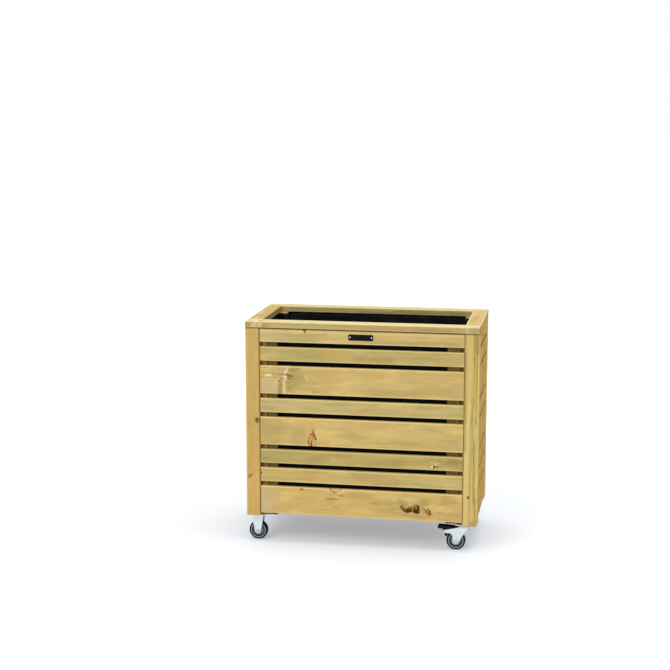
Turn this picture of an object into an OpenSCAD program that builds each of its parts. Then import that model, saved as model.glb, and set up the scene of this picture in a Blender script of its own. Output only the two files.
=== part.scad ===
// Slatted timber planter on two rigid and two braked swivel casters.
// Origin: centre of the footprint, on the floor. X is the width, the front faces -Y, Z is up.

/* [Frame] */
// Overall width over the posts
body_w = 740; // [620:10:900]
// Overall depth over the posts
body_d = 380; // [340:10:480]
// How far the posts reach below the lowest slats
post_drop = 10; // [4:1:20]

/* [Posts] */
// Overall size of a post, both ways
post_size = 70; // [66:1:84]
// Width of a post's face outside the slat rebate
post_face = 45; // [38:1:52]
// Radius of a post's long arrises
post_arris = 4; // [2:0.5:6]

/* [Slats] */
// Thickness of the slats
slat_t = 16; // [12:1:20]
// Width of a narrow slat
slat_narrow = 45; // [35:1:60]
// Width of a wide slat
slat_wide = 90; // [70:1:110]
// Open gap between two slats
slat_gap = 15.5; // [8:0.5:22]
// Set-back of the slats behind the post faces
slat_reveal = 1; // [0.5:0.5:4]
// Gap between a slat's end and the post beside it
slat_end_gap = 1.5; // [0.5:0.5:4]
// Radius of a slat's long arrises
slat_arris = 2.5; // [1:0.5:4]

/* [Rim] */
// Width of the rim boards
rim_w = 48; // [44:1:60]
// Thickness of the rim boards
rim_t = 20; // [14:1:28]
// Radius of a rim board's long arrises
rim_arris = 3; // [1:0.5:5]

/* [Battens and floor] */
// Width of the battens behind the slats
batten_w = 30; // [20:1:40]
// Thickness of the battens
batten_t = 16; // [12:1:24]
// Width of the floor bearers
bearer_w = 30; // [20:1:40]
// Height of the floor bearers
bearer_h = 30; // [20:1:44]
// How far the bearers reach below the lowest slats
bearer_drop = 8; // [2:1:9]
// Thickness of the floor boards
floor_t = 16; // [10:1:22]
// Gap between two floor boards
floor_gap = 8; // [3:1:14]
// Radius of the arrises of battens, bearers and floor boards
batten_arris = 2; // [0.5:0.5:4]

/* [Liner] */
// Wall of the liner
liner_t = 2; // [1.5:0.5:4]
// Gap between the top of the liner and the rim
liner_top_gap = 1; // [0.5:0.5:20]
// Radius of the liner's upright corners
liner_corner = 8; // [4:1:14]

/* [Nameplate] */
// Width of the nameplate
nameplate_w = 78; // [50:1:120]
// Height of the nameplate
nameplate_h = 19; // [14:1:30]
// Thickness of the nameplate
nameplate_t = 1; // [0.6:0.2:2]
// Corner radius of the nameplate
nameplate_corner = 4; // [1:0.5:6]
// Inset of a rivet from the end of the nameplate
rivet_inset = 5; // [4:0.5:8]
// Diameter of a nameplate rivet's head
rivet_head_d = 4; // [3:0.5:6]

/* [Wheels] */
// Diameter of a wheel over its tyre
wheel_d = 60; // [54:1:64]
// Width of the tyre
tyre_w = 20; // [16:0.5:22]
// Thickness of the tyre
tyre_t = 5.4; // [3:0.2:7]
// Radius of the tyre's shoulders
tyre_shoulder = 3.5; // [1:0.5:5]
// Width of the wheel centre's outer ring
ring_w = 2.6; // [1.6:0.2:4]
// Width of the recess between the ring and the dished middle
recess_w = 5.5; // [3:0.5:7]
// Diameter of the wheel's hub
hub_d = 18; // [14:0.5:22]
// Thickness of the wheel centre's web
web_t = 7; // [4:0.5:12]
// Diameter of the axle bolt
axle_d = 8; // [6:0.5:9]

/* [Caster] */
// Height of a caster from the floor to the top of its plate
caster_h = 88; // [84:1:110]
// Length of the caster plate along the planter's width
mount_plate_l = 58; // [54:1:60]
// Width of the caster plate along the planter's depth
mount_plate_w = 56; // [52:1:58]
// Thickness of the caster plate
mount_plate_t = 2.5; // [2:0.5:4]
// Screw spacing along the planter's width
mount_hole_x = 42; // [41:0.5:44]
// Screw spacing along the planter's depth
mount_hole_y = 38; // [37:0.5:40]
// Diameter of the screw holes in the caster plate
mount_hole_d = 6; // [5.5:0.5:7]
// Thickness of the fork's sheet steel
fork_sheet = 2; // [1.5:0.5:3]
// Clear width inside a fork
fork_gap = 28; // [26:0.5:32]
// Outer bend radius of a fork
fork_bend = 6; // [4:0.5:8]
// Radius of a fork's end round the axle
fork_lobe = 9.5; // [8.5:0.1:10.5]
// Inset of a rigid caster's axle from the planter's end
rigid_inset = 31; // [31:1:36]
// Wood between the slat rebates and the nearest screw centres
screw_wall = 3.5; // [3:0.5:5]

/* [Swivel] */
// Horizontal distance from kingpin to axle
trail = 26; // [22:1:32]
// Diameter of the swivel's ball races
race_d = 40; // [34:1:44]
// Height of the upper ball race below the plate
race_h = 5; // [4:0.5:6]
// Diameter of the kingpin
kingpin_d = 8; // [6:0.5:10]
// Diameter of the bearing balls
ball_d = 4; // [3:0.5:5]
// Number of bearing balls
ball_n = 12; // [8:1:14]

/* [Brake] */
// Length of the pedal outside its pivot
pedal_toe = 22; // [16:1:28]
// Height of the pedal's toe above its pivot
pedal_rise = 16.5; // [14:0.5:17]
// Thickness of the pedal's toe
pedal_t = 8; // [5:0.5:9]
// Diameter of the pedal's pivot pin
pedal_pin_d = 5; // [4:0.5:6]
// Gap between the brake shoe and the tyre with the brake off
shoe_gap = 1.5; // [1.4:0.1:2.4]

/* [Fasteners] */
// Diameter of the caster screws
screw_d = 5; // [4:0.5:5]
// Length of the caster screws in the post
screw_l = 35; // [25:1:50]
// Diameter of a caster screw's head
screw_head_d = 9.5; // [8:0.5:11]
// Height of a caster screw's head
screw_head_h = 2.6; // [2:0.2:3]

/* [Hidden] */
$fn = 48;

// Colours
pine = "#c8b06c";
pine_dark = "#b0935a";
zinc = "#cdd6dc";
steel = "#9aa3aa";
black = "#1b1b1d";
hub_grey = "#6f7c88";
stain = "#2b2622";

// Clearances
running = 0.05;     // radial, shaft in a turning hole
free_gap = 0.5;     // between faces that pass each other
cut = 1;            // how far a cutter runs past what it cuts

// Slats, counted from the top: 1 is wide
slat_is_wide = [0, 0, 1, 0, 1, 0, 0, 1];
slat_n = len(slat_is_wide);
function slat_h(i) = slat_is_wide[i] == 1 ? slat_wide : slat_narrow;
function slats_above(i) = i == 0 ? 0 : slats_above(i - 1) + slat_h(i - 1) + slat_gap;
function slat_z(i) = frame_top - slats_above(i) - slat_h(i);

// Heights
post_z = caster_h;
slats_z = post_z + post_drop;
frame_top = slats_z + slats_above(slat_n - 1) + slat_h(slat_n - 1);
bearer_z = slats_z - bearer_drop;
floor_z = bearer_z + bearer_h;
liner_z = floor_z + floor_t;
liner_top = frame_top - liner_top_gap;

// Insets from the outside of the frame
rebate = slat_t + slat_reveal;
batten_in = rebate + batten_t;
ledge = post_size - post_face;
inner_x = body_w / 2 - batten_in;
inner_y = body_d / 2 - batten_in;
rim_end_r = rim_arris + 1;
post_x = body_w / 2 - post_size;
post_y = body_d / 2 - post_size;
slat_len_x = body_w - 2 * post_face - 2 * slat_end_gap;
slat_len_y = body_d - 2 * post_face - 2 * slat_end_gap;

// Floor boards: long ones between the posts, one short one beside each long panel
long_board_n = 3;
long_board_w = (2 * post_y - 2 * free_gap - (long_board_n - 1) * floor_gap) / long_board_n;
long_board_l = 2 * inner_x - 2 * free_gap;
short_board_w = inner_y - post_y - floor_gap / 2;
short_board_l = 2 * post_x - 2 * free_gap;

// Wheel
wheel_r = wheel_d / 2;
core_r = wheel_r - tyre_t;
ring_r = core_r - ring_w;
dish_r = ring_r - recess_w;
hub_l = fork_gap - 2 * free_gap;
ring_inset = 0.5;
ring_half = tyre_w / 2 - ring_inset;
dish_rise = 2.5;
dish_lip = 1.5;
hub_chamfer = 1;
shoulder = min(tyre_shoulder, tyre_t - ring_inset);

// Caster places
caster_inset_y = rebate + screw_wall + mount_hole_y / 2;
swivel_inset = rebate + screw_wall + mount_hole_x / 2;
rigid_x = rigid_inset - body_w / 2;
kingpin_x = body_w / 2 - swivel_inset;
caster_y = caster_inset_y - body_d / 2;

// Fork
plate_z = caster_h - mount_plate_t;
fork_w = fork_gap + 2 * fork_sheet;
lobe_bite = 0.15;   // how far a fork's edges run into its lobe
lobe_side = fork_lobe - lobe_bite;
rigid_half = 17;
rigid_shoulder = 38;
weld = 0.5;         // how far the rigid fork's bend sinks into its plate
rigid_top = plate_z + weld - wheel_r;
plate_corner = 6;

// Swivel head, from the plate down: race, balls, fork's crown, kingpin head
race_z = plate_z - race_h;
race_gap = ball_d / 2;
race_wall = 7;
ball_r = ball_d / 2;
ball_ring_r = (race_d - race_wall) / 2;
ball_z = race_z - race_gap / 2;
head_z = race_z - race_gap;
crown_t = 2.5;
kingpin_head_d = 18;
kingpin_head_h = 3.5;

// Swivel fork's outline, from the axle and from the kingpin
crown_front = 17;
crown_back = 14;
crown_step = 3;
waist = [28, 29];
throat_r = 14;
throat_top = 1.5;   // above the underside of the fork's arm

// Brake: the pivot sits behind the wheel, level with its top
pivot_clear = 6;     // from the tyre to the pivot
pivot_x = wheel_r + pivot_clear;
pivot_z = wheel_r;
pivot_lobe = 5;
pedal_w = fork_gap - 2 * free_gap;
pedal_corner = 5;
nose_gap = 1.5;
pedal_nose = trail + pivot_x - race_d / 2 - nose_gap;
pedal_back = 6;
pedal_step = 1;
nose_top = 11;
nose_drop = 2;
hump_x = 6;
hump_drop = 2.5;
belly = [18, 5.5];
shoe_r = 3.5;
shoe_swing = 25;
pivot_to_axle = norm([pivot_x, pivot_z]);
shoe_angle = -atan2(pivot_z, pivot_x) - shoe_swing;
shoe_off = pivot_to_axle * sin(shoe_swing);
shoe_c = pivot_to_axle * cos(shoe_swing) - sqrt(pow(wheel_r + shoe_gap + shoe_r, 2) - pow(shoe_off, 2));
tread_d = 1.6;
tread_n = 4;
tread_step = 3.6;

// Axle and pin hardware
axle_head_d = 12.5;
axle_head_h = 3;
nut_d = 15;
nut_h = 6.5;
nut_sides = 6;
bolt_tail = 2;
pin_head_d = 7.5;
pin_head_h = 1.4;

// Nameplate, on the middle of the top slat
nameplate_z = slat_z(0) + slat_h(0) / 2;
nameplate_y = slat_reveal - body_d / 2;
rivet_d = 2;
rivet_head_h = 0.8;

// ---------- Shared shapes ----------

// Rectangle from the origin with true-arc corners
module rounded_rect(w, h, r) {
    translate([r, 0]) square([w - 2 * r, h]);
    translate([0, r]) square([w, h - 2 * r]);
    for (x = [r, w - r], y = [r, h - r]) translate([x, y]) circle(r);
}

// Timber along X, centred in X, from y = 0 and z = 0
module bar_x(l, d, h, r) {
    translate([-l / 2, 0, 0]) rotate([90, 0, 90]) linear_extrude(l) rounded_rect(d, h, r);
}

// The same timber with its ends eased as well
module eased_bar_x(l, d, h, r, end_r) {
    intersection() {
        bar_x(l, d, h, r);
        translate([-l / 2, 0, -cut]) linear_extrude(h + 2 * cut) rounded_rect(l, d, end_r);
        translate([-l / 2, d + cut, 0]) rotate([90, 0, 0]) linear_extrude(d + 2 * cut) rounded_rect(l, h, end_r);
    }
}

// Timber along Y, centred in Y, from x = 0 and z = 0
module bar_y(l, w, h, r) {
    translate([0, l / 2, 0]) rotate([90, 0, 0]) linear_extrude(l) rounded_rect(w, h, r);
}

// Timber along Z, from the origin
module bar_z(l, w, d, r) {
    linear_extrude(l) rounded_rect(w, d, r);
}

// Cylinder along Y between two places
module rod_y(d, y0, y1) {
    translate([0, y1, 0]) rotate([90, 0, 0]) cylinder(h = y1 - y0, d = d);
}

// A side outline drawn in X and Z, given a width in Y and centred in Y
module across(w) {
    translate([0, w / 2, 0]) rotate([90, 0, 0]) linear_extrude(w) children();
}

// Moves a piece of the front-left corner to the corner at sx, sy
module at_corner(sx, sy) {
    translate([sx * body_w / 2, sy * body_d / 2, 0])
        mirror([sx > 0 ? 1 : 0, 0, 0]) mirror([0, sy > 0 ? 1 : 0, 0]) children();
}

// Moves a piece of the front to the side at sy
module at_side(sy) {
    mirror([0, sy > 0 ? 1 : 0, 0]) children();
}

// Low domed head of diameter d and height h, revolved about Z
module dome(d, h) {
    dome_r = (h * h + d * d / 4) / (2 * h);
    rotate_extrude() intersection() {
        square([d / 2, h]);
        translate([0, h - dome_r]) circle(dome_r);
    }
}

// Flat round head with a rounded rim, of diameter d and height h
module button(d, h) {
    rotate_extrude() {
        square([d / 2, h / 2]);
        square([d / 2 - h / 2, h]);
        translate([d / 2 - h / 2, h / 2]) circle(h / 2);
    }
}

// ---------- Frame ----------

// The four screw places of a caster plate, from its centre
module at_plate_holes() {
    for (x = [-1, 1], y = [-1, 1]) translate([x * mount_hole_x / 2, y * mount_hole_y / 2, 0]) children();
}

// The four casters' places, on the floor
module at_casters() {
    for (x = [rigid_x, kingpin_x], y = [caster_y, -caster_y]) translate([x, y, 0]) children();
}

module screw_holes() {
    at_casters() at_plate_holes() translate([0, 0, post_z - cut]) cylinder(h = screw_l + cut, d = screw_d);
}

// Square post, rebated for both panels; its foot is full towards the planter's end
module post(sx, sy) {
    inner = post_size - rebate;
    color(pine) difference() {
        at_corner(sx, sy) {
            translate([0, 0, post_z]) linear_extrude(post_drop) {
                rounded_rect(post_face, post_size, post_arris);
                translate([0, rebate]) rounded_rect(post_size, inner, post_arris);
            }
            translate([0, 0, slats_z]) linear_extrude(frame_top - slats_z) {
                rounded_rect(post_face, post_face, post_arris);
                translate([rebate, rebate]) rounded_rect(inner, inner, post_arris);
            }
        }
        screw_holes();
    }
}

// One slat of a long panel, in front
module long_slat(i) {
    translate([0, slat_reveal - body_d / 2, slat_z(i)]) bar_x(slat_len_x, slat_t, slat_h(i), slat_arris);
}

// The slats of an end panel, on the left; the outermost caster screws run on into the lowest one
module end_slats(side) {
    difference() {
        mirror([side > 0 ? 1 : 0, 0, 0]) for (i = [0 : slat_n - 1])
            translate([slat_reveal - body_w / 2, 0, slat_z(i)])
                bar_y(slat_len_y, slat_t, slat_h(i), slat_arris);
        screw_holes();
    }
}

module front_slat(i) {
    color(pine) long_slat(i);
}

module rear_slats() {
    color(pine) at_side(1) for (i = [0 : slat_n - 1]) long_slat(i);
}

module left_slats() {
    color(pine) end_slats(-1);
}

module right_slats() {
    color(pine) end_slats(1);
}

module rim_front() {
    color(pine) translate([0, -body_d / 2, frame_top])
        eased_bar_x(body_w, rim_w, rim_t, rim_arris, rim_end_r);
}

module rim_rear() {
    color(pine) translate([0, body_d / 2 - rim_w, frame_top])
        eased_bar_x(body_w, rim_w, rim_t, rim_arris, rim_end_r);
}

// The end boards sit between the long ones
module rim_left() {
    color(pine) translate([-body_w / 2, 0, frame_top]) bar_y(body_d - 2 * rim_w, rim_w, rim_t, rim_arris);
}

module rim_right() {
    color(pine) mirror([1, 0, 0])
        translate([-body_w / 2, 0, frame_top]) bar_y(body_d - 2 * rim_w, rim_w, rim_t, rim_arris);
}

// ---------- Battens and floor ----------

// Battens of a long panel stand on the floor bearers
module long_panel_battens() {
    for (s = [-1, 1]) translate([s * (post_x - batten_w / 2) - batten_w / 2, rebate - body_d / 2, floor_z])
        bar_z(frame_top - floor_z, batten_w, batten_t, batten_arris);
}

// Battens of an end panel reach down to the lowest slat
module end_panel_battens() {
    for (s = [-1, 1]) translate([rebate - body_w / 2, s * (post_y - batten_w / 2) - batten_w / 2, slats_z])
        bar_z(frame_top - slats_z, batten_t, batten_w, batten_arris);
}

module front_battens() {
    color(pine_dark) long_panel_battens();
}

module rear_battens() {
    color(pine_dark) at_side(1) long_panel_battens();
}

module left_battens() {
    color(pine_dark) end_panel_battens();
}

module right_battens() {
    color(pine_dark) mirror([1, 0, 0]) end_panel_battens();
}

// Bearer from the front panel to the rear one, against the inner faces of two posts
module floor_bearer(s) {
    bearer_l = body_d - 2 * rebate;
    color(stain) translate([s * (post_x - bearer_w / 2) - bearer_w / 2, 0, bearer_z])
        bar_y(bearer_l, bearer_w, bearer_h, batten_arris);
}

module floor_boards() {
    first_y = -post_y + free_gap;
    color(pine_dark) for (i = [0 : long_board_n - 1])
        translate([0, first_y + i * (long_board_w + floor_gap), floor_z])
            bar_x(long_board_l, long_board_w, floor_t, batten_arris);
    short_y = inner_y - free_gap - short_board_w / 2;
    color(pine_dark) for (s = [-1, 1])
        translate([0, s * short_y - short_board_w / 2, floor_z])
            bar_x(short_board_l, short_board_w, floor_t, batten_arris);
}

// Cross-shaped outline of the cavity, drawn in by a wall
module cavity_outline(wall, r) {
    lx = inner_x - free_gap - wall;
    ly = inner_y - free_gap - wall;
    px = post_x - free_gap - wall;
    py = post_y - free_gap - wall;
    translate([-lx, -py]) rounded_rect(2 * lx, 2 * py, r);
    translate([-px, -ly]) rounded_rect(2 * px, 2 * ly, r);
}

// Open-topped liner that steps round the posts
module liner() {
    color(black) difference() {
        translate([0, 0, liner_z]) linear_extrude(liner_top - liner_z) cavity_outline(0, liner_corner);
        translate([0, 0, liner_z + liner_t]) linear_extrude(liner_top - liner_z)
            cavity_outline(liner_t, liner_corner - liner_t / 2);
    }
}

// ---------- Nameplate ----------

// Turns a plate drawn in X and Y to face the front, with its back on the top slat
module on_top_slat() {
    translate([0, nameplate_y, nameplate_z]) rotate([90, 0, 0]) children();
}

module at_rivets() {
    for (s = [-1, 1]) translate([s * (nameplate_w / 2 - rivet_inset), 0, 0]) children();
}

module nameplate() {
    color(black) on_top_slat() difference() {
        translate([-nameplate_w / 2, -nameplate_h / 2, 0])
            linear_extrude(nameplate_t) rounded_rect(nameplate_w, nameplate_h, nameplate_corner);
        at_rivets() translate([0, 0, -cut]) cylinder(h = nameplate_t + 2 * cut, d = rivet_d);
    }
}

// Rivets with low domed heads
module nameplate_rivets() {
    color(steel) on_top_slat() at_rivets() {
        cylinder(h = nameplate_t, d = rivet_d);
        translate([0, 0, nameplate_t]) dome(rivet_head_d, rivet_head_h);
    }
}

// ---------- Wheels ----------

// Turns what is revolved about Z to spin about Y
module about_y() {
    rotate([90, 0, 0]) rotate_extrude() children();
}

// Tyre with rounded shoulders, pressed on the wheel centre
module tyre() {
    color(black) about_y() intersection() {
        translate([core_r, -tyre_w / 2]) square([tyre_t, tyre_w]);
        translate([core_r - 2 * shoulder, -tyre_w / 2]) rounded_rect(tyre_t + 2 * shoulder, tyre_w, shoulder);
    }
}

// Wheel centre: hub, dished middle, web, outer ring
module wheel_centre() {
    bore_r = axle_d / 2 + running;
    hub_r = hub_d / 2;
    web = web_t / 2;
    dish = web + dish_rise;
    one_side = [[bore_r, hub_l / 2], [hub_r - hub_chamfer, hub_l / 2], [hub_r, hub_l / 2 - hub_chamfer],
        [hub_r, dish], [dish_r - dish_lip, dish], [dish_r, web],
        [ring_r - dish_lip, web], [ring_r, ring_half], [core_r, ring_half]];
    other_side = [for (i = [len(one_side) - 1 : -1 : 0]) [one_side[i][0], -one_side[i][1]]];
    color(hub_grey) about_y() polygon(concat(one_side, other_side));
}

// Axle bolt with a round head in front and a hexagon nut behind
module axle() {
    half = fork_w / 2;
    color(steel) {
        rod_y(axle_d, -half, half + nut_h + bolt_tail);
        translate([0, -half, 0]) rotate([90, 0, 0]) button(axle_head_d, axle_head_h);
        translate([0, half + nut_h, 0]) rotate([90, 0, 0]) cylinder(h = nut_h, d = nut_d, $fn = nut_sides);
    }
}

// ---------- Forks ----------

// Bent sheet seen from the end: an upside-down U, its top at z
module fork_bend_profile(z) {
    inside = z - fork_sheet + wheel_r;
    difference() {
        translate([-fork_w / 2, -wheel_r]) rounded_rect(fork_w, z + wheel_r, fork_bend);
        translate([-fork_gap / 2, -wheel_r - fork_bend])
            rounded_rect(fork_gap, inside + fork_bend, fork_bend - fork_sheet);
    }
}

// Bent sheet fork: the U along X, cut to the side outline, its top at z
module bent_fork(z, x0, x1) {
    intersection() {
        translate([x0, 0, 0]) rotate([90, 0, 90]) linear_extrude(x1 - x0) fork_bend_profile(z);
        across(2 * fork_w) children();
    }
}

// Point where a straight edge from p meets a lobe of radius r, on the side s
function tangent_point(p, r, s) =
    let (a = atan2(p[1], p[0]) + s * acos(r / norm(p))) [r * cos(a), r * sin(a)];

// Plate with rounded corners and four screw holes, its top against the post
module mount_plate() {
    difference() {
        translate([-mount_plate_l / 2, -mount_plate_w / 2, plate_z])
            linear_extrude(mount_plate_t) rounded_rect(mount_plate_l, mount_plate_w, plate_corner);
        at_plate_holes() translate([0, 0, plate_z - cut])
            cylinder(h = mount_plate_t + 2 * cut, d = mount_hole_d);
    }
}

// Side outline of the rigid fork, from the axle
module rigid_outline() {
    right = [rigid_half, rigid_shoulder];
    left = [-rigid_half, rigid_shoulder];
    circle(fork_lobe);
    polygon([[rigid_half, rigid_top], right, tangent_point(right, lobe_side, -1), [0, 0],
        tangent_point(left, lobe_side, 1), left, [-rigid_half, rigid_top]]);
}

// Rigid fork: plate and bent fork in one welded piece
module rigid_fork() {
    color(zinc) {
        mount_plate();
        translate([0, 0, wheel_r]) difference() {
            bent_fork(rigid_top, -2 * rigid_half, 2 * rigid_half) rigid_outline();
            rod_y(axle_d, -fork_w, fork_w);
        }
    }
}

// Side outline of the swivel fork, from the axle; its back, with the pedal's pivot, points to -X
module swivel_outline() {
    top = head_z - wheel_r;
    crown = trail - crown_back;
    throat_x = -fork_lobe - throat_r;
    throat_z = pivot_z - pivot_lobe + throat_top - throat_r;
    difference() {
        union() {
            circle(fork_lobe);
            polygon([[0, 0], tangent_point(waist, lobe_side, -1), waist, [trail + crown_front, top],
                [crown, top], [crown - crown_step, top - crown_step], [-pivot_x, pivot_z + pivot_lobe],
                [-pivot_x, pivot_z - pivot_lobe], [throat_x, throat_z + throat_r],
                [throat_x, throat_z], [-fork_lobe, throat_z], [-lobe_side, 0]]);
            translate([-pivot_x, pivot_z]) circle(pivot_lobe);
        }
        translate([throat_x, throat_z]) circle(throat_r);
    }
}

// Groove of a ball race, with a clearance round the balls
module ball_groove(gap) {
    translate([0, 0, ball_z]) rotate_extrude() translate([ball_ring_r, 0]) circle(ball_r + gap);
}

// Swivel fork: bent sheet under a race, bored for kingpin, axle and pedal pin
module swivel_fork() {
    color(zinc) difference() {
        union() {
            translate([-trail, 0, wheel_r])
                bent_fork(head_z - wheel_r, -2 * pivot_x, trail + 2 * crown_front) swivel_outline();
            translate([0, 0, head_z - crown_t]) cylinder(h = crown_t, d = race_d);
        }
        translate([0, 0, head_z - 2 * crown_t]) cylinder(h = 3 * crown_t, d = kingpin_d + 2 * running);
        translate([-trail, 0, wheel_r]) rod_y(axle_d, -fork_w, fork_w);
        translate([-trail - pivot_x, 0, wheel_r + pivot_z]) rod_y(pedal_pin_d, -fork_w, fork_w);
        ball_groove(free_gap);
    }
}

module swivel_plate() {
    color(zinc) difference() {
        mount_plate();
        translate([0, 0, plate_z - cut]) cylinder(h = mount_plate_t + 2 * cut, d = kingpin_d);
    }
}

// Upper ball race, fixed under the plate
module swivel_race() {
    color(zinc) difference() {
        translate([0, 0, race_z]) cylinder(h = race_h, d = race_d);
        translate([0, 0, race_z - cut]) cylinder(h = race_h + 2 * cut, d = race_d - 2 * race_wall);
        ball_groove(0);
    }
}

module swivel_balls() {
    color(steel) for (i = [0 : ball_n - 1]) rotate([0, 0, i * 360 / ball_n])
        translate([ball_ring_r, 0, ball_z]) sphere(r = ball_r);
}

// Kingpin, riveted in the plate, with its head under the fork's crown
module kingpin() {
    under = head_z - crown_t - free_gap;
    color(steel) {
        translate([0, 0, under]) cylinder(h = caster_h - under, d = kingpin_d);
        translate([0, 0, under]) rotate([180, 0, 0]) button(kingpin_head_d, kingpin_head_h);
    }
}

// ---------- Brake pedal ----------

// Side outline of the pedal, from its pivot: toe, back, nose, and the shoe above the tyre
module pedal_outline() {
    tip_r = pedal_t / 2;
    tip_x = tip_r - pedal_toe;
    under = pedal_rise - pedal_t;
    circle(pivot_lobe);
    translate([tip_x, pedal_rise - tip_r]) circle(tip_r);
    polygon([[tip_x, under], [tip_x, pedal_rise], [hump_x, pedal_rise],
        [pedal_nose - pedal_back, pedal_rise - hump_drop], [pedal_nose, nose_top],
        [pedal_nose, nose_top - nose_drop], belly, [pivot_lobe, 0], [-pivot_lobe, 0],
        [-pivot_lobe - pedal_step, under]]);
    rotate(shoe_angle) {
        translate([0, -shoe_r]) square([shoe_c, 2 * shoe_r]);
        translate([shoe_c, 0]) circle(shoe_r);
    }
}

// Pedal with ribs across its toe, bored for the pin
module brake_pedal() {
    color(black) translate([-trail - pivot_x, 0, wheel_r + pivot_z]) difference() {
        intersection() {
            union() {
                across(pedal_w) pedal_outline();
                for (i = [0 : tread_n - 1]) translate([pedal_t / 2 - pedal_toe + i * tread_step, 0, pedal_rise])
                    rod_y(tread_d, -pedal_w / 2, pedal_w / 2);
            }
            translate([-pedal_toe, -pedal_w / 2, -pedal_nose])
                linear_extrude(2 * pedal_nose) rounded_rect(pedal_toe + pedal_nose, pedal_w, pedal_corner);
        }
        rod_y(pedal_pin_d + 2 * running, -pedal_w, pedal_w);
    }
}

// Pivot pin, riveted over at both ends
module pedal_pin() {
    half = fork_w / 2;
    color(steel) translate([-trail - pivot_x, 0, wheel_r + pivot_z]) {
        rod_y(pedal_pin_d, -half, half);
        for (s = [0, 1]) mirror([0, s, 0]) translate([0, -half, 0])
            rotate([90, 0, 0]) dome(pin_head_d, pin_head_h);
    }
}

// ---------- Placing the casters ----------

module rigid(sy) {
    at_side(sy) translate([rigid_x, caster_y, 0]) children();
}

module rigid_axle(sy) {
    rigid(sy) translate([0, 0, wheel_r]) children();
}

module swivel(sy) {
    at_side(sy) translate([kingpin_x, caster_y, 0]) children();
}

module swivel_axle(sy) {
    swivel(sy) translate([-trail, 0, wheel_r]) children();
}

// Screws up through the caster plates into the posts
module caster_screws() {
    color(steel) at_casters() at_plate_holes() translate([0, 0, plate_z]) {
        cylinder(h = mount_plate_t + screw_l, d = screw_d);
        rotate([180, 0, 0]) dome(screw_head_d, screw_head_h);
    }
}

// ---------- Assembly ----------

post(-1, -1);  // post_front_left
post(1, -1);  // post_front_right
post(-1, 1);  // post_rear_left
post(1, 1);  // post_rear_right
front_slat(0);  // front_slat_1
front_slat(1);  // front_slat_2
front_slat(2);  // front_slat_3
front_slat(3);  // front_slat_4
front_slat(4);  // front_slat_5
front_slat(5);  // front_slat_6
front_slat(6);  // front_slat_7
front_slat(7);  // front_slat_8
rear_slats();
left_slats();
right_slats();
rim_front();
rim_rear();
rim_left();
rim_right();
front_battens();
rear_battens();
left_battens();
right_battens();
floor_bearer(-1);  // floor_bearer_left
floor_bearer(1);  // floor_bearer_right
floor_boards();
liner();
nameplate();
nameplate_rivets();
caster_screws();
rigid(-1) rigid_fork();  // rigid_fork_front
rigid_axle(-1) wheel_centre();  // rigid_wheel_front
rigid_axle(-1) tyre();  // rigid_tyre_front
rigid_axle(-1) axle();  // rigid_axle_front
rigid(1) rigid_fork();  // rigid_fork_rear
rigid_axle(1) wheel_centre();  // rigid_wheel_rear
rigid_axle(1) tyre();  // rigid_tyre_rear
rigid_axle(1) axle();  // rigid_axle_rear
swivel(-1) swivel_plate();  // swivel_plate_front
swivel(-1) swivel_race();  // swivel_race_front
swivel(-1) swivel_balls();  // swivel_balls_front
swivel(-1) kingpin();  // kingpin_front
swivel(-1) swivel_fork();  // swivel_fork_front
swivel_axle(-1) wheel_centre();  // swivel_wheel_front
swivel_axle(-1) tyre();  // swivel_tyre_front
swivel_axle(-1) axle();  // swivel_axle_front
swivel(-1) brake_pedal();  // brake_pedal_front
swivel(-1) pedal_pin();  // pedal_pin_front
swivel(1) swivel_plate();  // swivel_plate_rear
swivel(1) swivel_race();  // swivel_race_rear
swivel(1) swivel_balls();  // swivel_balls_rear
swivel(1) kingpin();  // kingpin_rear
swivel(1) swivel_fork();  // swivel_fork_rear
swivel_axle(1) wheel_centre();  // swivel_wheel_rear
swivel_axle(1) tyre();  // swivel_tyre_rear
swivel_axle(1) axle();  // swivel_axle_rear
swivel(1) brake_pedal();  // brake_pedal_rear
swivel(1) pedal_pin();  // pedal_pin_rear
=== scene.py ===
import math

import bmesh
import bpy
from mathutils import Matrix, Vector, noise
from mathutils.geometry import delaunay_2d_cdt


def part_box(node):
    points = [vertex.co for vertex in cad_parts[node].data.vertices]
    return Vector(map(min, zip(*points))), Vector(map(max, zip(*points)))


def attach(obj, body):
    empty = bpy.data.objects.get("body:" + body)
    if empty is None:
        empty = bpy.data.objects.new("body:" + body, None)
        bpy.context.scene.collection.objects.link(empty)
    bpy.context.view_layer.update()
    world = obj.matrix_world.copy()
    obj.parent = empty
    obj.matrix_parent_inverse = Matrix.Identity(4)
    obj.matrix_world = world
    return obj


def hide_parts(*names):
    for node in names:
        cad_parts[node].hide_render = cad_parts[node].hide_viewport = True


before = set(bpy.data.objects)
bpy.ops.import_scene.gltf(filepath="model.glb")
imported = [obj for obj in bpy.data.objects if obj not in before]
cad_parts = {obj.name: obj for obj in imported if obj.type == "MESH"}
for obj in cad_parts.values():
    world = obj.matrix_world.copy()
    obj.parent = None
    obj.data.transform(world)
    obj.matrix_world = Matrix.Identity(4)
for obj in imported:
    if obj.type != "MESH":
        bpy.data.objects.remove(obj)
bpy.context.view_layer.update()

MM = 0.001


def srgb(red, green, blue):
    """A linear colour from display values of 0 to 255."""
    def linear(value):
        value /= 255
        return value / 12.92 if value <= 0.04045 else ((value + 0.055) / 1.055) ** 2.4
    return linear(red), linear(green), linear(blue), 1


def toned(colour, factor, warmth=0):
    """A linear colour made lighter or darker, and warmer or cooler."""
    red, green, blue, _ = colour
    return min(1, red * factor * (1 + warmth)), green * factor, blue * factor * (1 - 2 * warmth), 1


# ---------- Shader expressions ----------

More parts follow.
